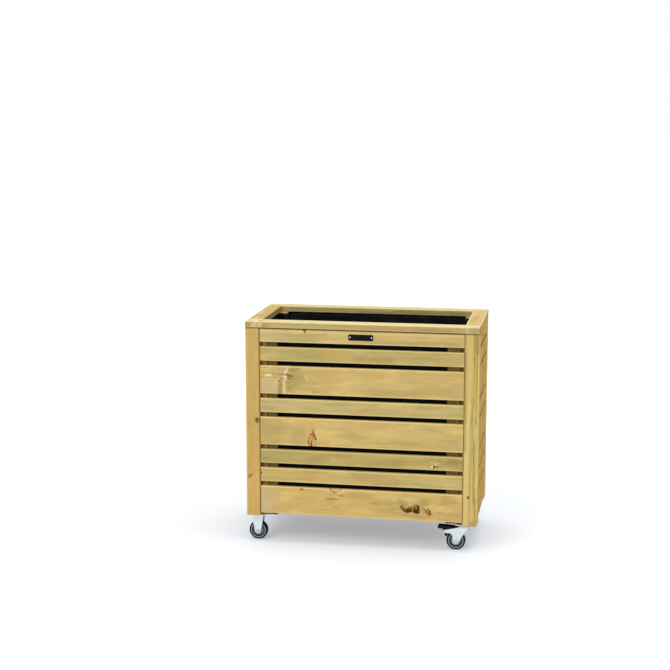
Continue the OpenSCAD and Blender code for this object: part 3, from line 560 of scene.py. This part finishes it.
# The pale strokes along the top arris and the lower edge are painted highlights, and the darker grey, olive and
# brown bands across the face are painted shade on its inner face
board("rim_rear", "x", tone=srgb(194, 175, 118), seed=10.4, pith=(-40, 25),
    strokes=[(-366, 722.5, 366, 722.5, 2, 2, srgb(226, 206, 150), 0.6),
        (-320, 711, -110, 712, 3.4, 3.4, srgb(170, 160, 120), 0.5),
        (-60, 706, 190, 707, 3, 3, srgb(150, 144, 104), 0.6),
        (60, 713, 180, 712, 2.6, 2.6, srgb(152, 124, 84), 0.6),
        (190, 709, 320, 709, 3.6, 3.6, srgb(160, 146, 88), 0.6),
        (-326, 712, -292, 710, 5, 4.4, srgb(190, 164, 132), 0.9),
        (-320, 702.5, -260, 702.5, 1.8, 1.8, LIGHT, 0.6)],
    tops=[(-370, 144.8, -369, 144.8, 1.8, 1.8, BRONZE, 0.8),
        (-296.8, 180.1, -296, 180.1, 1.9, 1.9, UMBER, 0.8)])
# The dark bands along the inner edge are painted shade on the inner face, and the pale line along the outer top
# arris is a painted highlight
board("rim_left", "y", tone=srgb(192, 172, 112), seed=11.2, pith=(-30, 30),
    washes=[(-130, 722, 22, 60, STRAW, 0.5), (0, 722, 60, 40, AMBER, 0.3)],
    tops=[(-126, -361.7, -115, -361.7, 2.2, 1.6, UMBER, 0.85),
        (-79, -344.9, -66, -344.9, 2.4, 1.8, UMBER, 0.9), (93, -343.2, 104, -343.2, 2.2, 1.6, BRONZE, 0.85),
        (-60, -352, 30, -357, 2.2, 2.2, srgb(222, 206, 136), 0.6),
        (-142, -321, -96, -321, 3.2, 3.2, srgb(150, 124, 86), 0.9),
        (-96, -321, 142, -321, 3, 3, srgb(140, 116, 60), 0.8),
        (-138, -369.5, 140, -369.5, 1.8, 1.8, srgb(232, 212, 158), 0.5)])
# The darker band across its side faces is painted shade, and the pale line along the inner top arris is a
# painted highlight
board("rim_right", "y", tone=srgb(196, 174, 116), seed=12.6, pith=(-36, -30),
    washes=[(-60, 722, 40, 40, OLIVE, 0.35), (60, 722, 60, 30, AMBER, 0.4)],
    strokes=[(-142, 710, 142, 710, 6.2, 6.2, srgb(168, 134, 72), 0.85)],
    tops=[(-140, 322, 142, 322, 3.4, 3.4, srgb(240, 216, 178), 0.9),
        (-100, 344, -60, 340, 2, 2, OLIVE, 0.4), (-30, 352, 60, 350, 2.4, 2.4, TAN, 0.3)])
# The dark bands along the rebate are painted shade where it shows through the gaps, and the pale line at the
# outer edge is a painted highlight on the arris
board("post_front_left", "z", tone=HONEY, seed=13.5, pith=(60, 90), contrast=0.6, green=0.15, shade=0.5,
    knots=[(404, -333, 7, 6, None), (219, -357, 9, 6, None)],
    washes=[(600, -350, 120, 30, AMBER, 0.35), (300, -340, 120, 12, srgb(210, 166, 100), 0.4)],
    strokes=[(410, -337, 404, -333, 1.2, 2, LIGHT, 0.6), (410, -328, 404, -331, 1.2, 2, LIGHT, 0.6),
        (406, -333, 400, -332.5, 5.2, 4.6, UMBER, 0.95), (401, -332.5, 391, -332, 3, 1.4, BRONZE, 0.85),
        (224, -351, 219, -357, 2.4, 4.4, RUST, 0.75), (219, -357, 212, -364, 3.6, 2.2, SIENNA, 0.6),
        (80, -312, 701, -312, 6.2, 6.2, srgb(136, 104, 54), 0.75),
        (80, -321, 701, -321, 2.6, 2.6, SOOT, 0.9), (80, -301.5, 701, -301.5, 1.8, 1.8, UMBER, 0.9),
        (110, -367, 690, -366.5, 2.2, 2.2, LIGHT, 0.45)])
# The darkest band along the rebate is painted shade where it shows through the gaps, and the darker band at the
# outer edge is painted shade on the side face
board("post_front_right", "z", tone=srgb(206, 182, 110), seed=14.2, pith=(-10, -26), contrast=1.2, rings=6,
    shade=0.6, knots=[(182, 341, 3, 3, None)],
    washes=[(95, 362, 26, 14, srgb(186, 136, 84), 0.6)],
    strokes=[(690, 340, 480, 341, 9, 8, srgb(220, 194, 120), 0.7),
        (480, 341, 400, 338, 6.5, 3.6, srgb(230, 206, 134), 0.7),
        (400, 338, 300, 336, 3.6, 7, srgb(230, 206, 140), 0.65),
        (300, 336, 95, 334, 7, 7.4, srgb(232, 204, 130), 0.7),
        (640, 327, 420, 329, 2.6, 3.2, srgb(176, 152, 84), 0.75),
        (420, 329, 330, 328, 3, 2.2, srgb(180, 156, 88), 0.6),
        (700, 330.5, 560, 330.5, 1.2, 1.2, OLIVE, 0.6),
        (700, 354, 600, 355, 1.8, 1.6, srgb(150, 116, 58), 0.75),
        (600, 355, 470, 352, 1.5, 1.5, srgb(176, 146, 76), 0.7), (470, 352, 400, 345, 1.4, 1.6, OLIVE, 0.7),
        (700, 363, 640, 363.5, 4.6, 4.2, srgb(160, 128, 66), 0.75),
        (640, 363.5, 420, 362, 3.2, 2.4, srgb(176, 146, 76), 0.6),
        (520, 345, 440, 350, 1.2, 1.4, OLIVE, 0.6), (440, 350, 360, 352, 1.4, 1.4, srgb(168, 144, 76), 0.6),
        (500, 357, 420, 349, 1.3, 1.3, srgb(172, 148, 80), 0.6),
        (360, 357, 160, 359, 1.8, 1.9, srgb(164, 136, 70), 0.7),
        (330, 345, 120, 346, 1.4, 1.4, OLIVE, 0.65),
        (260, 351, 110, 352, 2.4, 2.4, srgb(222, 196, 116), 0.6),
        (180, 363.5, 96, 364, 2.4, 3.4, srgb(178, 134, 82), 0.7),
        (183.5, 340.5, 180.5, 341.5, 3.2, 2.8, UMBER, 0.95),
        (80, 312, 701, 312, 8.4, 8.4, srgb(84, 62, 28), 0.85),
        (70, 373, 701, 373, 3.2, 3.2, srgb(186, 150, 84), 0.7)])
# The pale stroke across the top end is a painted highlight
board("post_rear_left", "z", tone=srgb(203, 174, 106), seed=15.8, pith=(50, 60), scatter=0.4,
    strokes=[(702, -326, 702, -296, 5, 5, srgb(222, 208, 178), 0.85)])
# The pale stroke across the top end and the pale line at the outer arris are painted highlights
board("post_rear_right", "z", tone=srgb(208, 176, 110), seed=16.3, pith=(-70, 40), scatter=0.4,
    strokes=[(702, 326, 702, 296, 5, 5, srgb(222, 208, 178), 0.7),
        (70, 372, 701, 372, 4, 4, srgb(226, 192, 126), 0.35)])

# The other panels, whose pith lies on their inner side
# The right panel's darker tone is painted shade for that side
DULL, SHADED_DULL = srgb(194, 164, 94), srgb(184, 150, 78)
for node, lie, seed, tone, inward in (("rear_slats", "x", 20.5, DULL, -46), ("left_slats", "y", 31.1, DULL, 46),
                                      ("right_slats", "y", 42.9, SHADED_DULL, -46)):
    board(node, lie, tone=tone, seed=seed, pith=(12, inward), ends=ends_of(node, lie), scatter=0.42,
          stacked=True, rings=4.2, worn=0.6)

# Sawn battens and floor, and stained bearers
for side, seed in (("front", 51.2), ("rear", 52.3), ("left", 53.4), ("right", 54.5)):
    dress(f"{side}_battens", timber(f"rough_{side}_battens", "z", srgb(130, 112, 64), seed, pith=(40, 50),
                                    scatter=0.35, rough=0.5))
dress("floor_boards", timber("rough_floor_boards", "x", srgb(176, 148, 92), 61.3, pith=(40, 200),
                             scatter=0.35, rough=0.5))
for node, seed in (("floor_bearer_left", 71.4), ("floor_bearer_right", 72.6)):
    dress(node, timber(f"stained_{node}", "y", srgb(28, 23, 19), seed, pith=(40, 80), rough=0.6))


# ---------- Metal, rubber and plastic ----------

def zinc_plate():
    """Bright zinc plating with faint spangle and handling marks."""
    paint = Paint("zinc_plating")
    place = x, y, z = paint.place()
    flake = paint.vector(x / 7, y / 7, z / 7)
    spangle = paint.node("ShaderNodeTexVoronoi", {}, {"Vector": flake, "Scale": 1}, "Color")
    facet, _, _ = paint.parts(spangle)
    brushed = paint.cloud(place, (6, 6, 0.8), 3)
    smudge = paint.cloud(place, (14, 14, 14), 3, 4.4)
    colour = paint.mix(facet * 0.35, srgb(238, 248, 252), srgb(210, 224, 232))
    colour = paint.mix(paint.rise(smudge, 0.55, 0.75) * 0.35, colour, srgb(172, 178, 180))
    return paint.done(colour, 0.30 + brushed * 0.16 + smudge * 0.08, brushed, 0.05, metallic=0.75)


def bolt_steel(name="bolt_steel", recess_shade=None, bright=srgb(204, 210, 214)):
    """Dull bright steel with turning marks. It may take a function that gives the painted shade of the head's
    drive recess at each place.
    """
    paint = Paint(name)
    place = paint.place()
    turned = paint.cloud(place, (0.5, 4, 0.5), 2)
    stain = paint.cloud(place, (5, 5, 5), 3, 2.2)
    colour = paint.mix(paint.rise(stain, 0.45, 0.75) * 0.5, bright, toned(bright, 0.5))
    if recess_shade:
        # Painted shade in the drive recess
        colour = paint.mix(recess_shade(paint, *place), colour, srgb(58, 64, 68))
    return paint.done(colour, 0.34 + turned * 0.2, turned, 0.04, metallic=0.6)


def socket_head(centre):
    """Painted shade of a hexagon socket and of a turned groove round it, on an axle through a point."""
    def recess_shade(paint, x, y, z):
        off_x, off_z = abs(x - centre.x), abs(z - centre.z)
        hexagon = off_x.most(off_x * 0.5 + off_z * 0.866)
        groove = paint.fall(abs(paint.away(off_x, off_z) - 4.6), 0.4, 1.3, 0.75)
        return paint.fall(hexagon, 1.2, 1.5, 0.35).most(groove)
    return recess_shade


def cross_head(paint, x, y, z):
    """Painted shade of a cross recess in each of the sixteen caster screws."""
    middle, reach = (RIGID_X + SWIVEL_X) / 2, (SWIVEL_X - RIGID_X) / 2
    off_x = abs(abs(abs(x - middle) - reach) - SCREW_X)
    off_y = abs(abs(abs(y) - CASTER_Y) - SCREW_Y)
    thin, long = off_x.least(off_y), off_x.most(off_y)
    return paint.fall(thin, 0.5, 0.8) * paint.fall(long, 2.3, 2.7, 0.85)


def bearing_steel():
    """Hard bright steel under a film of grease."""
    paint = Paint("bearing_steel")
    grease = paint.cloud(paint.place(), (3, 3, 3), 3, 1.7)
    colour = paint.mix(paint.rise(grease, 0.5, 0.7) * 0.6, srgb(176, 180, 184), srgb(120, 108, 82))
    return paint.done(colour, 0.14 + grease * 0.22, metallic=0.95)


def tyre_rubber(name, centre):
    """Black rubber, dusty on the tread and darker down the side."""
    paint = Paint(name)
    place = x, y, z = paint.place()
    radius = paint.away(x - centre.x, z - centre.z)
    dust = paint.cloud(place, (4, 4, 4), 4, 3.3)
    grit = paint.cloud(place, (0.9, 0.9, 0.9), 2, 5.1)
    tread = paint.rise(radius, TYRE_RADIUS - 1.4, TYRE_RADIUS - 0.2)
    colour = paint.mix(paint.rise(dust, 0.45, 0.75) * 0.3, srgb(9, 12, 16), srgb(34, 35, 36))
    colour = paint.mix(tread * paint.rise(dust, 0.35, 0.65) * 0.4, colour, srgb(54, 53, 51))
    return paint.done(colour, 0.58 + dust * 0.2, grit, 0.12, specular=0.2)


def wheel_plastic(name, centre):
    """Moulded wheel centre: pale outer ring, dark recess, grey-blue dish and hub."""
    paint = Paint(name)
    place = x, y, z = paint.place()
    radius = paint.away(x - centre.x, z - centre.z)
    mottle = paint.cloud(place, (3, 3, 3), 3, 2.8)
    zones = paint.ramp(radius / DISH_RADIUS, [
        (0.0, srgb(132, 152, 162)), (0.60, srgb(138, 158, 168)), (0.655, srgb(66, 80, 92)),
        (0.83, srgb(52, 64, 74)), (0.865, srgb(166, 180, 188)), (1.0, srgb(178, 190, 198))])
    colour = paint.mix(mottle * 0.22, zones, srgb(60, 68, 78))
    return paint.done(colour, 0.40 + mottle * 0.14, mottle, 0.06)


def pedal_plastic():
    """Black moulded plastic with a fine spark texture, greyer where shoes rub it."""
    paint = Paint("pedal_plastic")
    place = x, y, z = paint.place()
    spark = paint.cloud(place, (0.7, 0.7, 0.7), 3, 6.1)
    rub = paint.cloud(place, (9, 9, 5), 4, 7.7)
    worn = paint.rise(z, RUB_FOOT, RUB_TOP) * paint.rise(rub, 0.45, 0.70)
    colour = paint.mix(worn * 0.3, srgb(16, 15, 15), srgb(70, 66, 60))
    return paint.done(colour, 0.46 + spark * 0.16, spark, 0.10, specular=0.2)


def plate_paint():
    """Satin black paint with hairline scratches and dust."""
    paint = Paint("plate_paint")
    place = paint.place()
    hair = paint.cloud(place, (9, 1, 0.25), 3, 1.9)
    dust = paint.cloud(place, (3, 1, 3), 4, 8.2)
    colour = paint.mix(paint.rise(hair, 0.62, 0.75) * 0.35, srgb(9, 9, 11), srgb(44, 45, 50))
    colour = paint.mix(paint.rise(dust, 0.55, 0.8) * 0.18, colour, srgb(96, 94, 88))
    return paint.done(colour, 0.42 + dust * 0.16, hair, 0.03, specular=0.12)


def liner_film():
    """Black film, dusty in its folds."""
    paint = Paint("liner_film")
    place = paint.place()
    crease = paint.cloud(place, (30, 30, 60), 4, 3.9)
    dust = paint.cloud(place, (70, 70, 70), 5, 9.4)
    fine = paint.cloud(place, (5, 5, 9), 3, 2.5)
    colour = paint.mix(paint.rise(dust, 0.48, 0.74) * 0.4, srgb(7, 6, 6), srgb(50, 48, 44))
    return paint.done(colour, 0.44 + dust * 0.28, crease * 0.7 + fine * 0.3, 3.0, specular=0.17)


def rivet_metal():
    """Bright aluminium with fine scuffs."""
    paint = Paint("rivet_metal")
    scuff = paint.cloud(paint.place(), (1.2, 1, 0.3), 3, 4.9)
    colour = paint.mix(scuff * 0.4, srgb(246, 247, 248), srgb(206, 208, 212))
    return paint.done(colour, 0.34 + scuff * 0.2, metallic=0.4)


ZINC, BOLT, BEARING = zinc_plate(), bolt_steel(), bearing_steel()
PEDAL, PLATE, FILM = pedal_plastic(), plate_paint(), liner_film()
for side in SIDES:
    for node in (f"rigid_fork_{side}", f"swivel_fork_{side}", f"swivel_plate_{side}", f"swivel_race_{side}"):
        dress(node, ZINC)
    for node in (f"kingpin_{side}", f"pedal_pin_{side}"):
        dress(node, BOLT)
    dress(f"swivel_balls_{side}", BEARING)
    dress(f"brake_pedal_{side}", PEDAL)
    for kind in ("rigid", "swivel"):
        centre = middle_of(f"{kind}_tyre_{side}")
        dress(f"{kind}_tyre_{side}", tyre_rubber(f"{kind}_tyre_{side}_rubber", centre))
        dress(f"{kind}_wheel_{side}", wheel_plastic(f"{kind}_wheel_{side}_plastic", centre))
        dress(f"{kind}_axle_{side}", bolt_steel(f"{kind}_axle_{side}_steel", socket_head(centre),
                                                srgb(240, 246, 248)))
dress("nameplate", PLATE)
dress("nameplate_rivets", rivet_metal())
dress("caster_screws", bolt_steel("screw_steel", cross_head))


# ---------- Meshes ----------

def piece(name, verts, faces, material, body, slot):
    """A new smooth mesh piece, from points in metres, that rides on a body."""
    mesh = bpy.data.meshes.new(name)
    mesh.from_pydata([tuple(v) for v in verts], [], faces)
    mesh.validate()
    mesh.shade_smooth()
    made = bpy.data.objects.new(name, mesh)
    bpy.context.scene.collection.objects.link(made)
    mesh.materials.append(material)
    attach(made, body)
    return made


def hoops(around, rows):
    """The faces between closed rings of points that lie one after another."""
    faces = []
    for row in range(rows):
        for k in range(around):
            a, b = row * around + k, row * around + (k + 1) % around
            faces.append((a, b, b + around, a + around))
    return faces


def tube(points, radii, sides=8):
    """Points and faces of a rod along some points, in millimetres, with a radius at each."""
    points = [Vector(p) for p in points]
    verts, faces = [], hoops(sides, len(points) - 1)
    for n, (point, radius) in enumerate(zip(points, radii)):
        run = points[min(n + 1, len(points) - 1)] - points[max(n - 1, 0)]
        turn = run.to_track_quat("Z", "Y").to_matrix()
        for k in range(sides):
            angle = 2 * math.pi * (k + 0.5) / sides
            across = Vector((radius * math.cos(angle), radius * math.sin(angle), 0))
            verts.append((point + turn @ across) * MM)
    faces.append(tuple(range(sides))[::-1])
    faces.append(tuple(range((len(points) - 1) * sides, len(points) * sides)))
    return verts, faces


def gathered(parts):
    """Joins several (points, faces) into one."""
    verts, faces = [], []
    for some_verts, some_faces in parts:
        start = len(verts)
        verts += some_verts
        faces += [tuple(i + start for i in face) for face in some_faces]
    return verts, faces


# Weld beads at the ends of the fixed forks' webs, under their plates
BEAD_X, BEAD_Y, BEAD_Z = 17.4, 11, 84.6     # a bead's start from the caster's middle, and its height
BEAD_STEP, BEAD_RINGS = 0.7, 32
BEAD_RADIUS, BEAD_END = 1.15, 0.5
for side, sign in SIDES.items():
    beads = []
    for end in (-1, 1):
        run = [(RIGID_X + end * BEAD_X, sign * CASTER_Y + BEAD_Y - BEAD_STEP * k,
                BEAD_Z + 0.12 * math.sin(2.3 * k)) for k in range(BEAD_RINGS)]
        ripples = [BEAD_RADIUS + 0.16 * math.sin(2.1 * k + end) for k in range(1, BEAD_RINGS - 1)]
        beads.append(tube(run, [BEAD_END, *ripples, BEAD_END]))
    piece(f"fork_welds_{side}", *gathered(beads), ZINC, "planter", "zinc")

# Staples through the film into the battens: the crown's middle, its direction, and the outward one
CROWN_X, CROWN_Y = 335.0, 155.0     # how far out the crowns are
BATTEN_X, BATTEN_Y = 285, 112       # the battens that they hold to
STAPLE_HEIGHTS = 688, 628
STAPLES = []
for height in STAPLE_HEIGHTS:
    for sign in (-1, 1):
        for at in (-BATTEN_X, BATTEN_X):
            STAPLES.append((Vector((at, sign * CROWN_Y, height)), Vector((1, 0, 0)), Vector((0, sign, 0))))
        for at in (-BATTEN_Y, BATTEN_Y):
            STAPLES.append((Vector((sign * CROWN_X, at, height)), Vector((0, 1, 0)), Vector((sign, 0, 0))))
BOW = [(-5, 2.0), (-5, 0.4), (-4.6, 0), (0, 0), (4.6, 0), (5, 0.4), (5, 2.0)]
WIRE_RADIUS = 0.38
wires = [tube([middle + lie * u + out * v for u, v in BOW], [WIRE_RADIUS] * len(BOW))
         for middle, lie, out in STAPLES]
piece("liner_staples", *gathered(wires), bolt_steel("staple_wire", None, srgb(52, 52, 54)),
      "planter", "bolt_steel")

# Liner film: its outline is the cavity's, notched by the posts
low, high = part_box("liner")
FILM_FOOT, FILM_TOP = low.z / MM + 1.0, high.z / MM - 0.6
FAR_X, FAR_Y = high.x / MM - 1.2, high.y / MM - 1.2
post_low, post_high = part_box("post_front_right")
NOTCH_X, NOTCH_Y = post_low.x / MM - 1.7, -post_high.y / MM - 1.7
CORNERS = [(FAR_X, -NOTCH_Y), (FAR_X, NOTCH_Y), (NOTCH_X, NOTCH_Y), (NOTCH_X, FAR_Y),
           (-NOTCH_X, FAR_Y), (-NOTCH_X, NOTCH_Y), (-FAR_X, NOTCH_Y), (-FAR_X, -NOTCH_Y),
           (-NOTCH_X, -NOTCH_Y), (-NOTCH_X, -FAR_Y), (NOTCH_X, -FAR_Y), (NOTCH_X, -NOTCH_Y)]
FILM_ROWS, BEND_STEPS = 58, 5
FOLD_SIZE, FOLD_DEPTH = 38, 5.5
CRUMPLE_SIZE, CRUMPLE_HEIGHT, CRUMPLE_DEPTH = 17, 42, 1.6
CLEARANCE, MOST_DEPTH = 2.2, 9      # from the cavity's sides to the film, between its folds and at the most
PINCHED, PULLED = 5, 26             # how far from a staple the film is flat, and then how far it is pulled
DROP_SIZE, DROP = 55, 1.4           # how wide and how deep the top edge sags
FLOOR_GRID, FLOOR_CLEAR = 0.024, 0.016      # metres between the bottom's points, and from them to the sides
FLOOR_LIFT = 0.0024


def film_path(spacing=7.0, bend=8.0):
    """Points round the cavity, with rounded corners."""
    path = []
    for n, here in enumerate(CORNERS):
        here = Vector(here)
        before, after = Vector(CORNERS[n - 1]), Vector(CORNERS[(n + 1) % len(CORNERS)])
        into, out = (here - before).normalized(), (after - here).normalized()
        start, stop = here - into * bend, here + out * bend
        for k in range(BEND_STEPS + 1):
            t = k / BEND_STEPS
            path.append(start * (1 - t) ** 2 + here * 2 * t * (1 - t) + stop * t * t)
        run = (after - out * bend) - stop
        steps = max(2, int(run.length / spacing))
        for k in range(1, steps):
            path.append(stop + run * (k / steps))
    return path


def hung(point, inward, share):
    """Where the film is beside a point of the cavity: folded and crumpled, and flat at the staples."""
    height = FILM_FOOT + (FILM_TOP - FILM_FOOT) * share
    fold = noise.noise(Vector((point.x / FOLD_SIZE, point.y / FOLD_SIZE, share * 1.6)))
    spot = Vector((point.x / CRUMPLE_SIZE, point.y / CRUMPLE_SIZE, height / CRUMPLE_HEIGHT + 9))
    crumple = noise.noise(spot)
    depth = CLEARANCE + FOLD_DEPTH * max(0, fold) * (0.35 + 0.65 * share) + CRUMPLE_DEPTH * max(0, crumple)
    pinch = min((Vector((point.x, point.y, height)) - middle).length for middle, _, _ in STAPLES)
    freed = min(1, 4 * share + 0.1) * min(1, max(0, pinch - PINCHED) / PULLED)
    shift = inward * min(depth, MOST_DEPTH) * freed
    drop = DROP * noise.noise(Vector((point.x / DROP_SIZE, point.y / DROP_SIZE, 4))) if share == 1 else 0
    return Vector((point.x + shift.x, point.y + shift.y, height + min(0, drop))) * MM


def clear(x, y):
    """Whether a point of the film's bottom, in metres, is well inside it."""
    far_x, far_y, notch_x, notch_y = (size * MM - FLOOR_CLEAR for size in (FAR_X, FAR_Y, NOTCH_X, NOTCH_Y))
    return (abs(x) < far_x and abs(y) < notch_y) or (abs(x) < notch_x and abs(y) < far_y)


def film_mesh():
    """The film's sides, hung from the top, and its bottom on the floor boards."""
    path = film_path()
    count = len(path)
    verts = []
    for row in range(FILM_ROWS + 1):
        for k, point in enumerate(path):
            tangent = (path[(k + 1) % count] - path[k - 1]).normalized()
            verts.append(hung(point, Vector((-tangent.y, tangent.x)), row / FILM_ROWS))
    faces = hoops(count, FILM_ROWS)
    inside = [(x * FLOOR_GRID, y * FLOOR_GRID) for x in range(-14, 15) for y in range(-6, 7)]
    flat = [Vector((v.x, v.y)) for v in verts[:count]] + [Vector(p) for p in inside if clear(*p)]
    rim = [(k, (k + 1) % count) for k in range(count)]
    spots, _, cells, _, _, _ = delaunay_2d_cdt(flat, rim, [], 1, 1e-7)
    start = len(verts)
    for n, spot in enumerate(spots):
        lift = 0.0 if n < count else FLOOR_LIFT * max(0, noise.noise(Vector((spot.x * 16, spot.y * 16, 2))))
        verts.append(Vector((spot.x, spot.y, FILM_FOOT * MM + lift)))
    faces += [tuple(i + start for i in cell) for cell in cells]
    return verts, faces


film = piece("liner_film", *film_mesh(), FILM, "planter", "film")
weld = bmesh.new()
weld.from_mesh(film.data)
bmesh.ops.remove_doubles(weld, verts=weld.verts, dist=0.00002)
bmesh.ops.recalc_face_normals(weld, faces=weld.faces)
weld.to_mesh(film.data)
weld.free()
skin = film.modifiers.new("film", "SOLIDIFY")
skin.thickness, skin.offset = 0.0004, 0
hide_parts("liner")


# ---------- Camera, lamps and floor ----------

scene = bpy.context.scene
scene.view_settings.view_transform = "Standard"
camera = bpy.data.objects.new("camera", bpy.data.cameras.new("camera"))
scene.collection.objects.link(camera)
camera.location = (0.686, -4.520, 1.453)
camera.rotation_euler = (math.radians(90 - 9.900), 0, math.radians(10.043))
camera.data.lens = 76.93
camera.data.sensor_width = 36
scene.camera = camera

LAMPS_AIM = Vector((0, 0, 0.4))
for name, place, size, power in (
        ("key_softbox", (-2.6, -4.6, 4.2), (3.0, 2.4), 91), ("top_softbox", (0.3, 0.1, 4.6), (3.4, 3.0), 74),
        ("side_softbox", (4.4, -0.8, 2.6), (2.4, 2.4), 34)):
    lamp = bpy.data.lights.new(name, "AREA")
    lamp.shape, lamp.size, lamp.size_y, lamp.energy = "RECTANGLE", size[0], size[1], power
    softbox = bpy.data.objects.new(name, lamp)
    scene.collection.objects.link(softbox)
    softbox.location = place
    softbox.rotation_euler = (LAMPS_AIM - Vector(place)).to_track_quat("-Z", "Y").to_euler()

# The room lights the planter dimly, and the camera and mirrors see it white
room = Paint("studio", "worlds")
seen = (room.ray("Camera") + (room.ray("Glossy") + room.ray("Transmission"))).least(1)
light = room.node("ShaderNodeBackground", {}, {"Color": (1, 1, 1, 1), "Strength": 0.67})
white = room.node("ShaderNodeBackground", {}, {"Color": (1, 1, 1, 1), "Strength": 1.0})
room.node("ShaderNodeOutputWorld", {},
          {"Surface": room.node("ShaderNodeMixShader", {}, {0: seen, 1: light, 2: white})})
scene.world = room.made


def floor_paint():
    """Matt pale floor that the camera sees a little flatter than it lights the room, and white far off."""
    paint = Paint("floor_paint")
    x, y, _ = paint.place()
    tone = paint.cloud((x, y), (900, 900), 2, 1.1)
    colour = paint.mix(tone, (0.79, 0.815, 0.855, 1), (0.77, 0.795, 0.835, 1))
    seen = paint.ray("Camera")
    colour = paint.mix(seen, colour, (0.70, 0.72, 0.75, 1))
    far_off = paint.rise(paint.away(x, y), 620, 1500)
    glow = paint.mix(far_off, (0.278, 0.292, 0.312, 1), (0.8, 0.8, 0.8, 1))
    return paint.done(colour, 0.9, specular=0, others={
        "Emission Color": paint.mix(seen, (0, 0, 0, 1), glow), "Emission Strength": 1.0})


floor = bpy.data.objects.new("floor", bpy.data.meshes.new("floor"))
floor.data.from_pydata([(-40, -40, 0), (40, -40, 0), (40, 40, 0), (-40, 40, 0)], [], [(0, 1, 2, 3)])
floor.data.materials.append(floor_paint())
scene.collection.objects.link(floor)
